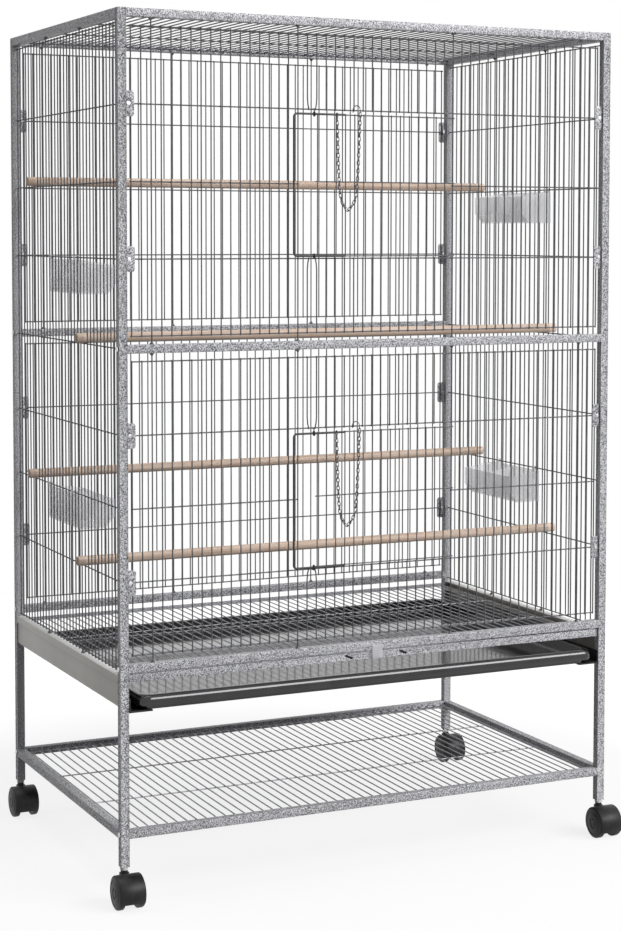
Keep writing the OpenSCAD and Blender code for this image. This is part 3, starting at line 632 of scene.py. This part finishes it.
# %% [markdown]
# The perches are dowels of a pale wood, with the grain along them. Wood can be made from
# rings that are cut lengthwise, but on a thin dowel only streaks of them show. So a fine
# noise and a broad one are both drawn out along the perch, and their sum runs through a
# ramp from brown to cream.

# %% Turned wood
def turned_wood():
    finish = Finish("turned_wood")
    grain = finish.noise(30, 6, (0.12, 8, 8))
    band = finish.noise(9, 3, (0.6, 2, 2))
    tone = grain * 0.65 + band * 0.35
    return finish.surface(
        Base_Color=finish.ramp(
            tone, (0.33, (0.51, 0.37, 0.28)), (0.5, (0.73, 0.56, 0.45)), (0.68, (0.85, 0.71, 0.6))
        ),
        Roughness=0.55 + 0.2 * grain,
        Normal=finish.bump(grain, 0.25, 0.0004),
    )


perch_wood = turned_wood()
print(perch_wood.name)

# %% [markdown]
# The bolts are bright zinc, the chains dull steel, and the collars under the posts white
# plastic. Bare metal mirrors what is round it and would look like chrome if it were even,
# so tarnish changes both its colour and its gloss. The chains were hung before there was
# any finish, and they get theirs here.

# %% Bright metal and white collars
def bright_metal(name, low, high):
    finish = Finish(name)
    tarnish = finish.noise(180, 4)
    return finish.surface(
        Base_Color=finish.ramp(tarnish, (0.35, (low, low, low)), (0.7, (high, high, high))),
        Metallic=0.9,
        Roughness=0.2 + 0.25 * tarnish,
        Normal=finish.bump(tarnish, 0.1, 0.0002),
    )


def matt_white():
    finish = Finish("matt_white_plastic")
    dust = finish.noise(300, 4)
    return finish.surface(
        Base_Color=finish.ramp(dust, (0.35, (0.78, 0.78, 0.77)), (0.7, (0.9, 0.9, 0.9))),
        Roughness=0.4 + 0.15 * dust,
        Normal=finish.bump(dust, 0.1, 0.0002),
    )


collar_white = matt_white()
bolt_metal = bright_metal("bright_bolt_zinc", 0.5, 0.75)
chain_metal = bright_metal("dull_chain_steel", 0.07, 0.22)
for chain in chains:
    chain.data.materials.clear()
    chain.data.materials.append(chain_metal)
print(collar_white.name, bolt_metal.name, chain_metal.name)

# %% [markdown]
# Posts and rails are square tube. A tube's long edges are rolled, never sharp, and
# that soft edge catches the light all the way up the cage. Each one is a box at its
# size and place. Its long edges are bevelled, and the flat of each end is inset and
# sunk a little, as a pressed cap is.

# %% Square tubes
tube, roll_r, cap_rim, cap_depth, facing = 0.012, 0.0015, 0.001, 0.0006, 0.9


def tube_shape(name, low, high):
    low, high = Vector(low), Vector(high)
    piece = open_piece(name)
    size = high - low
    along = max(range(3), key=lambda axis: size[axis])
    bpy.ops.mesh.primitive_cube_add(size=1, location=(low + high) / 2, scale=size)
    shape = bmesh.from_edit_mesh(piece.data)
    for edge in shape.edges:
        span = edge.verts[1].co - edge.verts[0].co
        edge.select_set(abs(span[along]) > size[along] / 2)
    shape.select_flush(False)
    bmesh.update_edit_mesh(piece.data)
    bpy.ops.mesh.bevel(offset=roll_r, segments=4, affect="EDGES")
    bpy.ops.mesh.select_all(action="DESELECT")
    shape = bmesh.from_edit_mesh(piece.data)
    for face in shape.faces:
        face.select_set(abs(face.normal[along]) > facing)
    shape.select_flush(True)
    bmesh.update_edit_mesh(piece.data)
    bpy.ops.mesh.inset(thickness=cap_rim, depth=-cap_depth, use_individual=True)
    piece.data.materials.append(silver_paint)
    return piece


for node in (
    "top_front_rail", "top_back_rail", "top_left_rail", "top_right_rail",
    "mid_front_rail", "mid_back_rail", "bottom_front_rail", "bottom_back_rail",
    "shelf_front_rail", "shelf_back_rail", "shelf_left_rail", "shelf_right_rail",
):
    close_piece(tube_shape(node + "_tube", *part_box(node)), "frame", "silver_paint", node)

# %% [markdown]
# The posts run in one length from the casters to the top. Small ears on their inner
# sides take the bolts of the corner plates. The ears are welded on, so they are added
# to the same mesh while it is open.

# %% Corner posts
post_x, post_front, post_back = 0.3875, -0.248 + set_back, 0.248 + set_back
plate_heights = (0.449, 0.652, 0.894, 1.105)
inner_x = post_x - tube / 2
ear_size, ear_out, ear_edge = Vector((0.006, 0.0015, 0.027)), 0.00015, 0.0003
for side, across in (("left", -1), ("right", 1)):
    ear_x = across * (inner_x - ear_size.x / 2)
    for end, y, out in (("front", post_front, -1), ("back", post_back, 1)):
        node = f"{end}_{side}_post"
        low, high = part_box(node)
        x, half = across * post_x, tube / 2
        post = tube_shape(
            node + "_tube", (x - half, y - half, low.z), (x + half, y + half, high.z)
        )
        for height in plate_heights:
            bpy.ops.mesh.primitive_cube_add(
                size=1, location=(ear_x, y + out * ear_out, height), scale=ear_size
            )
            bpy.ops.mesh.bevel(offset=ear_edge, segments=2, affect="EDGES")
        close_piece(post, "frame", "silver_paint", node)

# %% [markdown]
# The walls are welded mesh: straight round wires, the uprights outside and the cross
# wires behind them, sunk into each other a little where they are welded. The solid
# model draws them as flat strips. Here each wire is a cylinder added in edit mode at
# its own place, so a whole panel is one mesh. Eight sides are enough for two millimetres.
# A foot of weld, where a long wire meets a tube, is a short cone.

# %% Straight wires and welded feet
wire_d, sunk, wire_sides, wire_pitch = 0.002, 0.0007, 8, 0.01465
column_count, row_count = 52, 33
foot_r, neck_r, foot_sides = 0.0036, 0.0009, 10


def wire(start, end, thickness=wire_d):
    start, end = Vector(start), Vector(end)
    span = end - start
    bpy.ops.mesh.primitive_cylinder_add(
        vertices=wire_sides, radius=thickness / 2, depth=span.length,
        location=(start + end) / 2, rotation=span.to_track_quat("Z", "Y").to_euler(),
    )


def welded_foot(neck, end):
    neck, end = Vector(neck), Vector(end)
    span = neck - end
    bpy.ops.mesh.primitive_cone_add(
        vertices=foot_sides, radius1=foot_r, radius2=neck_r, depth=span.length,
        location=(neck + end) / 2, rotation=span.to_track_quat("Z", "Y").to_euler(),
    )


def welded_mesh(name, place, uprights, crosses, feet, body, *nodes, bends=()):
    piece = open_piece(name)
    for points in bends:
        for (left, low), (far, high) in zip(points, points[1:]):
            wire(place(left, low, sunk), place(far, high, sunk))
    for across, low, high in uprights:
        wire(place(across, low, sunk), place(across, high, sunk))
    for height, left, far in crosses:
        wire(place(left, height, -sunk), place(far, height, -sunk))
    for across, neck, end in feet:
        welded_foot(place(across, neck, sunk), place(across, end, 0))
    piece.data.materials.append(wire_paint)
    return close_piece(piece, body, "silver_paint", *nodes)


columns = [(number - (column_count - 1) / 2) * wire_pitch for number in range(column_count)]
rows = [(number - (row_count - 1) / 2) * wire_pitch + set_back for number in range(row_count)]
print("columns from", round(columns[0], 4), "rows from", round(rows[0], 4))

# %% [markdown]
# A front panel leaves a doorway between two of its long wires, so the wires there are
# in two short lengths, and the middle cross wire stops at each side. Two of the short
# wires lean together at their ends, where they are drawn into the latch's guide loop.
# Four long wires run on to the rails and end in a small foot of weld. A doorway could be
# cut out of a whole mesh, but its edges are wires too, so they are listed one by one.

# %% Wires of a wall panel
upper_levels = (0.7885, 0.894, 0.9995, 1.105, 1.2105)
lower_levels = (0.3475, 0.449, 0.5505, 0.652, 0.7535)
long_columns, doorway = (2, 17, 34, 49), (17, 34)
past, foot, bend_l = 0.0015, 0.004, 0.016
guide_lean, bend_shares = {18: 0.0026, 19: -0.0026}, (0.45, 1.0)


def leaning_wire(across, lean, tip, straight, far):
    points = [(across + lean, tip)]
    for share in bend_shares:
        points.append((across + lean * (1 - share) ** 2, tip + share * (straight - tip)))
    return points + [(across, far)]


def wall_panel(name, place, levels, rails, has_door, node):
    uprights, feet, bends = [], [], []
    for number, across in enumerate(columns):
        low, high = levels[0] - past, levels[-1] + past
        if number in long_columns:
            low, high = rails
            feet += [(across, low + foot, low), (across, high - foot, high)]
        if has_door and number in guide_lean:
            lean = guide_lean[number]
            bends.append(leaning_wire(across, lean, levels[1] + past, levels[1] - bend_l, low))
            bends.append(leaning_wire(across, lean, levels[3] - past, levels[3] + bend_l, high))
        elif has_door and doorway[0] < number < doorway[1]:
            uprights += [(across, low, levels[1] + past), (across, levels[3] - past, high)]
        else:
            uprights.append((across, low, high))
    crosses = []
    for number, height in enumerate(levels):
        if has_door and number == 2:
            crosses.append((height, columns[0] - past, columns[doorway[0]] + past))
            crosses.append((height, columns[doorway[1]] - past, columns[-1] + past))
        else:
            crosses.append((height, columns[0] - past, columns[-1] + past))
    welded_mesh(name, place, uprights, crosses, feet, "frame", node, bends=bends)


# %% [markdown]
# The wires of a panel are listed flat, by how far across and how high they lie. A small
# rule sets such a place on the front or on the back of the cage, with the uprights
# outside on both. So one function makes all four panels, and nothing has to be turned
# round afterwards. The back panels have no doorway.

# %% Front and back panels
top_rail, mid_rail, bottom_rail = 1.222, (0.765, 0.777), 0.336
upper_rails, lower_rails = (mid_rail[1], top_rail), (bottom_rail, mid_rail[0])


def on_front(across, height, out):
    return across, post_front - out, height


def on_back(across, height, out):
    return across, post_back + out, height


wall_panel("front_upper_mesh", on_front, upper_levels, upper_rails, True, "front_upper_panel")
wall_panel("front_lower_mesh", on_front, lower_levels, lower_rails, True, "front_lower_panel")
wall_panel("back_upper_mesh", on_back, upper_levels, upper_rails, False, "back_upper_panel")
wall_panel("back_lower_mesh", on_back, lower_levels, lower_rails, False, "back_lower_panel")

# %% [markdown]
# A side panel is one tall mesh from the apron to the top rail. Its cross wires run from
# post to post and are welded to them, and two of its uprights stand on the apron. The
# same helper makes it, with a rule that sets a flat place on the left or the right side.

# %% Side panels
side_levels = (0.325, 0.449, 0.5505, 0.652, 0.771, 0.894, 0.9995, 1.105, 1.216)
apron_top, long_rows = 0.320, (11, 22)
inner_front, inner_back = post_front + tube / 2, post_back - tube / 2


def side_panel(name, side, node):
    def on_side(along, height, out):
        return side * (post_x + out), along, height

    uprights, feet = [], []
    for number, along in enumerate(rows):
        low, high = side_levels[0] - past, side_levels[-1] + past
        if number in long_rows:
            low, high = apron_top, top_rail
            feet += [(along, low + foot, low), (along, high - foot, high)]
        uprights.append((along, low, high))
    crosses = [(height, inner_front, inner_back) for height in side_levels]
    welded_mesh(name, on_side, uprights, crosses, feet, "frame", node)


side_panel("left_mesh", -1, "left_panel")
side_panel("right_mesh", 1, "right_panel")

# %% [markdown]
# The top and the shelf are flat grilles inside their rails. Their wires run from front
# to back over four cross wires, the outer two of which lie against the rails. They take
# the helper of the walls once more, now with height for the direction outwards. The shelf
# takes the paler grille paint, partly painted light, so its material is changed after the
# mesh is made.

# %% Top and shelf grilles
row_shares, flat_reach, top_z, shelf_z = (-1, -1 / 3, 1 / 3, 1), 0.241, 1.228, 0.099
flat_rows = [set_back + share * flat_reach for share in row_shares]


def flat_grille(name, height, node):
    def on_top(across, along, out):
        return across, along, height + out

    uprights = [(across, inner_front, inner_back) for across in columns]
    crosses = [(along, -inner_x, inner_x) for along in flat_rows]
    return welded_mesh(name, on_top, uprights, crosses, [], "frame", node)


flat_grille("top_mesh", top_z, "top_grille")
shelf = flat_grille("shelf_mesh", shelf_z, "shelf_grille")
shelf.data.materials[0] = painted_light_grille_paint

# %% [markdown]
# The floor grille slides out over the tray. It is a flat grille too, with a steel strip
# along its front that has two slanted finger slots. The slots are cut with a Boolean,
# because their round ends would be awkward to inset. The cutter is a cylinder whose two
# halves are drawn apart, and it is black and stops short of the strip's back. The cut
# takes that material over, so the inside of a slot is painted shade, black where no light
# reaches.

# %% Cutter for the finger slots
slot_r, slot_half, slot_tilt = 0.0017, 0.0048, math.radians(24)
cutter_l = 0.02


def slot_cutter(x, y, z):
    cutter = open_piece("slot_cutter")
    bpy.ops.mesh.primitive_cylinder_add(
        vertices=24, radius=slot_r, depth=cutter_l, location=(x, y, z),
        rotation=(math.pi / 2, 0, 0),
    )
    shape = bmesh.from_edit_mesh(cutter.data)
    for side in (1, -1):
        for vert in shape.verts:
            vert.select_set(side * (vert.co.x - x) > nearly)
        shape.select_flush(True)
        bmesh.update_edit_mesh(cutter.data)
        bpy.ops.transform.translate(value=(side * slot_half, 0, 0))
        shape = bmesh.from_edit_mesh(cutter.data)
    bpy.ops.object.mode_set(mode="OBJECT")
    there = Matrix.Translation((x, y, z))
    cutter.data.transform(there @ Matrix.Rotation(slot_tilt, 4, "Y") @ there.inverted())
    # black plastic on the cutter is painted shade for the unlit slot
    cutter.data.materials.append(caster_plastic)
    return cutter


# %% [markdown]
# The strip and a low bar along the back of the grille are two boxes in one mesh. The
# slots are cut first and the edges are broken after that, so the rims of the slots get
# their bevel too. The strip and the wires are two pieces that move as one.

# %% Strip and back bar of the floor grille
strip_low = Vector((-0.3803, -0.251 + set_back, 0.311))
strip_high = Vector((0.3803, -0.248 + set_back, 0.322))
back_bar_place, back_bar_size = (0, 0.2365 + set_back, 0.3143), (0.7606, 0.003, 0.006)
slot_x, cutter_ahead = 0.044, 0.0076
strip_edge, strip_angle = 0.0005, math.radians(50)


def grille_strip(name):
    strip = open_piece(name)
    middle = (strip_low + strip_high) / 2
    bpy.ops.mesh.primitive_cube_add(size=1, location=middle, scale=strip_high - strip_low)
    bpy.ops.mesh.primitive_cube_add(size=1, location=back_bar_place, scale=back_bar_size)
    bpy.ops.object.mode_set(mode="OBJECT")
    strip.data.materials.append(silver_paint)
    for x in (-slot_x, slot_x):
        cutter = slot_cutter(x, strip_low.y - cutter_ahead, middle.z)
        cut = strip.modifiers.new("finger_slot", "BOOLEAN")
        cut.object, cut.operation, cut.material_mode = cutter, "DIFFERENCE", "TRANSFER"
        bpy.ops.object.select_all(action="DESELECT")
        strip.select_set(True)
        bpy.context.view_layer.objects.active = strip
        bpy.ops.object.modifier_apply(modifier=cut.name)
        bpy.data.objects.remove(cutter)
    edge = strip.modifiers.new("rolled_edge", "BEVEL")
    edge.width, edge.segments, edge.limit_method = strip_edge, 2, "ANGLE"
    edge.angle_limit = strip_angle
    bpy.ops.object.modifier_apply(modifier=edge.name)
    return strip


close_piece(grille_strip("floor_grille_strip"), "floor_grille", "silver_paint", "floor_grille")

# %% [markdown]
# The wires of the floor grille run from front to back over four thinner cross wires.
# Four of them reach on into the middle of the strip, which they carry. Two thicknesses
# are more than the helper of the walls knows, so the wires are added one by one here.

# %% Wires of the floor grille
strip_y, grille_reach = -0.2495 + set_back, 0.235
long_z, long_d, cross_z, cross_d = 0.3125, 0.0019, 0.312, 0.0014
grille_rows = [set_back + share * grille_reach for share in row_shares]
grille = open_piece("floor_grille_mesh")
for number, across in enumerate(columns):
    start = strip_y if number in long_columns else grille_rows[0] - past
    wire((across, start, long_z), (across, grille_rows[-1] + past, long_z), long_d)
for along in grille_rows:
    wire((columns[0] - past, along, cross_z), (columns[-1] + past, along, cross_z), cross_d)
# The paler paint is partly painted light for the light from above.
grille.data.materials.append(painted_light_grille_paint)
close_piece(grille, "floor_grille", "silver_paint", "floor_grille")

# %% [markdown]
# A door is a small mesh panel whose three bars are curled round one long wire of the
# front panel, and that wire is the hinge. A curl is a short ring, so a torus at the
# hinge wire is a good start, and the bar runs out of its front.

# %% Doors
upright_y, bar_y, door_wire = -0.2513 + set_back, -0.2504 + set_back, 0.0018
door_columns, hinge_x, free_x = columns[19:34], columns[34], -0.0977
curl_r, curl_wire = 0.0023, 0.0019


def wire_door(name, bars, body, node):
    piece = open_piece(name)
    for across in door_columns:
        low, high = bars[0] - past, bars[2] + past
        wire((across, upright_y, low), (across, upright_y, high), door_wire)
    for height in bars:
        wire((free_x, bar_y, height), (hinge_x, bar_y, height), door_wire)
        bpy.ops.mesh.primitive_torus_add(
            major_radius=curl_r, minor_radius=curl_wire / 2, major_segments=20,
            minor_segments=8, location=(hinge_x, post_front, height),
        )
    piece.data.materials.append(wire_paint)
    close_piece(piece, body, "silver_paint", node)


wire_door("upper_door_mesh", (0.8975, 1.003, upper_arm), "upper_door", "upper_door")
wire_door("lower_door_mesh", (0.4525, 0.554, lower_arm), "lower_door", "lower_door")

# %% [markdown]
# The sheet, moulded and turned pieces already have their right shape in the solid
# model, but every edge there is knife sharp. A copy of that mesh is merged, its flat
# triangles are dissolved into whole faces, and a narrow bevel breaks the edges, so they
# catch a line of light as pressed sheet and moulded plastic do.

# %% A softened copy of a solid
solid_doubles, flat_angle, sharp_angle = 0.000005, math.radians(0.5), math.radians(40)


def softened(node, name, width, finish, slot, segments=2):
    if bpy.context.mode != "OBJECT":
        bpy.ops.object.mode_set(mode="OBJECT")
    bpy.ops.object.select_all(action="DESELECT")
    piece = bpy.data.objects.new(name, frame["nodes"][node].data.copy())
    bpy.context.scene.collection.objects.link(piece)
    piece.select_set(True)
    bpy.context.view_layer.objects.active = piece
    if piece.data.has_custom_normals:
        bpy.ops.mesh.customdata_custom_splitnormals_clear()
    bpy.ops.object.mode_set(mode="EDIT")
    bpy.ops.mesh.select_all(action="SELECT")
    bpy.ops.mesh.remove_doubles(threshold=solid_doubles)
    bpy.ops.mesh.dissolve_limited(angle_limit=flat_angle)
    bpy.ops.object.mode_set(mode="OBJECT")
    edge = piece.modifiers.new("broken_edge", "BEVEL")
    edge.width, edge.segments, edge.limit_method = width, segments, "ANGLE"
    edge.angle_limit = sharp_angle
    bpy.ops.object.modifier_apply(modifier=edge.name)
    piece.data.materials.clear()
    piece.data.materials.append(finish)
    body = frame["nodes"][node]["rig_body"]
    return close_piece(piece, body, slot, node)


# %% [markdown]
# A pressed sheet has a tight edge and a moulding a rounder one, so each kind of piece has
# its own width of bevel, and the clip and the domed bolts get a third segment. The upward
# faces at the top of an apron take the near-white coat, a painted highlight for the light
# from above. They could be picked by number, but numbers change with the mesh, so they
# are found by their normal and their height.

# %% Sheet, mouldings and dowels
sheet_edge, bar_edge, clip_edge, plate_edge = 0.0005, 0.0006, 0.0007, 0.0004
bolt_edge, cup_edge, perch_edge, top_depth = 0.0009, 0.0006, 0.0006, 0.0008


# Upward faces near the apron's top get the near-white coat, a painted highlight.
def painted_highlight_top(piece):
    piece.data.materials.append(flange_painted_highlight)
    for face in piece.data.polygons:
        if face.normal.z > facing and face.center.z > apron_top - top_depth:
            face.material_index = 1


for node in ("left_apron", "right_apron"):
    painted_highlight_top(softened(node, node + "_sheet", sheet_edge, sheet_coat, "sheet_metal"))
for node in ("left_runner", "right_runner"):
    softened(node, node + "_bar", bar_edge, caster_plastic, "black_plastic")
softened(
    "grille_clip", "grille_clip_moulding", clip_edge, clear_plastic, "clear_plastic", segments=3
)
softened("corner_plates", "corner_plate_set", plate_edge, silver_paint, "silver_paint")
for node in ("plate_bolts", "rail_bolts"):
    softened(node, node + "_domed", bolt_edge, bolt_metal, "bolt_steel", segments=3)
for node in ("left_upper_cup", "left_lower_cup", "right_upper_cup", "right_lower_cup"):
    softened(node, node + "_moulding", cup_edge, clear_plastic, "clear_plastic")
for node in ("high_perch", "middle_perch", "low_back_perch", "low_front_perch"):
    softened(node, node + "_dowel", perch_edge, perch_wood, "wood")

# %% [markdown]
# The upper edge of an apron is folded back on itself, which stiffens the sheet and shows
# as a flat band with a crease under it. One thin box with broken edges on the outside of
# the sheet is enough for that fold.

# %% Folded edges of the aprons
fold_t, fold_h, fold_edge = 0.0013, 0.0105, 0.0004
for side, node in ((-1, "left_apron"), (1, "right_apron")):
    low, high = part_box(node)
    fold = open_piece(node + "_fold")
    outside = low.x if side < 0 else high.x
    bpy.ops.mesh.primitive_cube_add(
        size=1,
        location=(outside + side * fold_t / 2, (low.y + high.y) / 2, high.z - fold_h / 2),
        scale=(fold_t, high.y - low.y, fold_h),
    )
    bpy.ops.mesh.bevel(offset=fold_edge, segments=2, affect="EDGES")
    fold.data.materials.append(sheet_coat)
    # The fold's upward top face gets the painted highlight coat too.
    painted_highlight_top(close_piece(fold, "frame", "sheet_metal", node))

# %% [markdown]
# The tray is vacuum formed, so its wall is one skin that runs from the tub's bottom up,
# out over the rim and down into a rounded skirt. That is also a way to model it: one
# face with round corners is extruded from ring to ring of the section, each ring being
# the outline drawn in by so much at such a height, and ends as the floor of the tray.

# %% A face carried along a section
def carried_face(name, low, high, corner, section):
    piece = open_piece(name)
    half, centre = (high - low) / 2, (low + high) / 2
    (reach, height), *rings = section
    bpy.ops.mesh.primitive_plane_add(size=2, location=(centre.x, centre.y, height))
    bpy.ops.transform.resize(
        value=(half.x - reach, half.y - reach, 1), center_override=(centre.x, centre.y, height)
    )
    bpy.ops.mesh.bevel(offset=corner, segments=8, affect="VERTICES")
    for new_reach, new_height in rings:
        share_x = (half.x - new_reach) / (half.x - reach)
        share_y = (half.y - new_reach) / (half.y - reach)
        bpy.ops.mesh.extrude_region_move()
        bpy.ops.transform.resize(
            value=(share_x, share_y, 1), center_override=(centre.x, centre.y, height)
        )
        bpy.ops.transform.translate(value=(0, 0, new_height - height))
        reach, height = new_reach, new_height
    bpy.ops.mesh.select_all(action="SELECT")
    bpy.ops.mesh.normals_make_consistent(inside=False)
    return piece


# %% [markdown]
# The section goes from the foot up the outside to the rim, down inside the skirt, round
# the lip, and over the rim to the floor. A curve could give the round parts, but a dozen
# points are enough for a lip of this size. Two rings close together at each end of the
# inner wall keep its shading flat, or the smoothing would tilt it and the glossy floor
# would mirror the lamp in it.

# %% Tray
low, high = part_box("tray")
bottom, rim = low.z, high.z
foot_ring = (
    (0.0095, bottom), (0.0083, bottom + 0.0005), (0.0080, bottom + 0.0015),
)
under_rim = (
    (0.0080, rim - 0.0025), (0.0025, rim - 0.0025), (0.0025, rim - 0.0150),
)
rounded_lip = (
    (0.0019, rim - 0.0150), (0.0009, rim - 0.0148), (0.0003, rim - 0.0139),
    (0.0000, rim - 0.0120), (0.0001, rim - 0.0095), (0.0005, rim - 0.0070),
    (0.0011, rim - 0.0049), (0.0019, rim - 0.0031), (0.0031, rim - 0.0015),
    (0.0045, rim - 0.0005), (0.0062, rim), (0.0093, rim), (0.0102, rim - 0.0004),
)
inner_wall = (
    (0.0105, rim - 0.0013), (0.0105, rim - 0.0019),
    (0.0107, bottom + 0.0054), (0.0107, bottom + 0.0048),
)
inner_floor = (
    (0.0114, bottom + 0.0032), (0.0130, bottom + 0.0025), (0.0150, bottom + 0.0025),
)
tray_corner = 0.016
tray_section = foot_ring + under_rim + rounded_lip + inner_wall + inner_floor
tray = carried_face("tray_shell", low, high, tray_corner, tray_section)
tray.data.materials.append(tray_plastic)
close_piece(tray, "tray", "black_plastic", "tray")

# %% [markdown]
# The casters are twin wheels on an axle with a hood between and over them. The middle of
# the hood has its shape from the solid model, so it is softened like the other mouldings,
# with a wider bevel, because its edges are well rounded.

# %% Caster hoods
hood_edge = 0.0012
corners = [f"{end}_{side}" for end in ("front", "back") for side in ("left", "right")]
for corner in corners:
    hood = corner + "_caster"
    softened(hood, hood + "_hood", hood_edge, caster_plastic, "caster_plastic", segments=3)

# %% [markdown]
# A wheel has a domed outer face with a ring step and a hub. It could be built up from
# discs, but it is a turned shape, so its profile is drawn as a line of edges and Spin
# carries that round the axle. The second wheel is the same profile on the other side.

# %% Turned wheels
axle_r, axle_l, wheel_doubles = 0.003, 0.03, 0.00001


def turned_wheels(name):
    piece = open_piece(name)
    profile = (
        (0.0000, 0.0106), (0.0225, 0.0106), (0.0230, 0.0111), (0.0230, 0.0170), (0.0224, 0.0184),
        (0.0210, 0.0192), (0.0186, 0.0196), (0.0178, 0.0190), (0.0168, 0.0190), (0.0158, 0.0197),
        (0.0085, 0.0201), (0.0078, 0.0194), (0.0062, 0.0194), (0.0055, 0.0203), (0.0000, 0.0203),
    )
    for side in (1, -1):
        shape = bmesh.from_edit_mesh(piece.data)
        for vert in shape.verts:
            vert.select_set(False)
        shape.select_flush(False)
        line = [shape.verts.new((side * out, radius, 0)) for radius, out in profile]
        for first, second in zip(line, line[1:]):
            shape.edges.new((first, second)).select_set(True)
        bmesh.update_edit_mesh(piece.data)
        bpy.ops.mesh.spin(steps=40, angle=2 * math.pi, center=(0, 0, 0), axis=(1, 0, 0))
    bpy.ops.mesh.primitive_cylinder_add(
        vertices=20, radius=axle_r, depth=axle_l, rotation=(0, math.pi / 2, 0)
    )
    bpy.ops.mesh.select_all(action="SELECT")
    bpy.ops.mesh.remove_doubles(threshold=wheel_doubles)
    bpy.ops.mesh.normals_make_consistent(inside=False)
    bpy.ops.object.mode_set(mode="OBJECT")
    return piece


pattern_wheels = turned_wheels("pattern_wheels")
print(pattern_wheels.name, len(pattern_wheels.data.polygons), "faces")

# %% [markdown]
# A thin shell reaches from the hood over both wheels as a mudguard does. Half of a pipe
# would have sharp rims, so a flat section with broken corners is spun part of the way
# round the axle.

# %% Shell over the wheels
shell_dip = math.radians(28)


def wheel_shell(name):
    piece = open_piece(name)
    section = (
        (-0.0180, 0.0234), (-0.0180, 0.0239), (-0.0171, 0.0245),
        (0.0171, 0.0245), (0.0180, 0.0239), (0.0180, 0.0234),
    )
    back, down = math.cos(shell_dip), math.sin(shell_dip)
    shape = bmesh.from_edit_mesh(piece.data)
    outline = [shape.verts.new((x, -r * back, -r * down)) for x, r in section]
    shape.faces.new(outline).select_set(True)
    bmesh.update_edit_mesh(piece.data)
    sweep = math.pi + 2 * shell_dip
    bpy.ops.mesh.spin(steps=36, angle=sweep, center=(0, 0, 0), axis=(1, 0, 0))
    bpy.ops.mesh.select_all(action="SELECT")
    bpy.ops.mesh.normals_make_consistent(inside=False)
    bpy.ops.object.mode_set(mode="OBJECT")
    return piece


pattern_shell = wheel_shell("pattern_shell")
print(pattern_shell.name, len(pattern_shell.data.polygons), "faces")

# %% [markdown]
# The four casters are alike, so their wheels and shell were modelled once, at the origin.
# Each copy has a mesh of its own that is moved to the middle of its wheels. The object
# itself stays at the origin, from which the plastic's noise is counted.

# %% Wheels and shells of the four casters
def copied_to(pattern, name, place, body, node):
    piece = pattern.copy()
    piece.data = pattern.data.copy()
    piece.name = name
    bpy.context.scene.collection.objects.link(piece)
    piece.data.transform(Matrix.Translation(place))
    piece.data.materials.append(caster_plastic)
    close_piece(piece, body, "caster_plastic", node)


for corner in corners:
    wheels, hood = corner + "_wheels", corner + "_caster"
    low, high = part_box(wheels)
    copied_to(pattern_wheels, wheels + "_turned", (low + high) / 2, wheels, wheels)
    copied_to(pattern_shell, hood + "_shell", (low + high) / 2, hood, hood)
bpy.data.objects.remove(pattern_wheels)
bpy.data.objects.remove(pattern_shell)

# %% [markdown]
# The latch rods, their guide loops and the collars under the posts are right as the
# solid model has them, so they keep its mesh and only get the finish of the real thing.

# %% Finishes on the solid model's own pieces
for node, finish in (
    ("upper_latch", latch_paint), ("lower_latch", latch_paint),
    ("latch_guides", latch_paint), ("post_collars", collar_white),
):
    for place in frame["nodes"][node].material_slots:
        place.material = finish
    print(node, finish.name)

# %% [markdown]
# Last, every object is deselected. The box of the dressed cage should agree with that of
# the solid model to a few millimetres, since looks don't change the object's size.

# %% Finish the scene
bpy.ops.object.select_all(action="DESELECT")
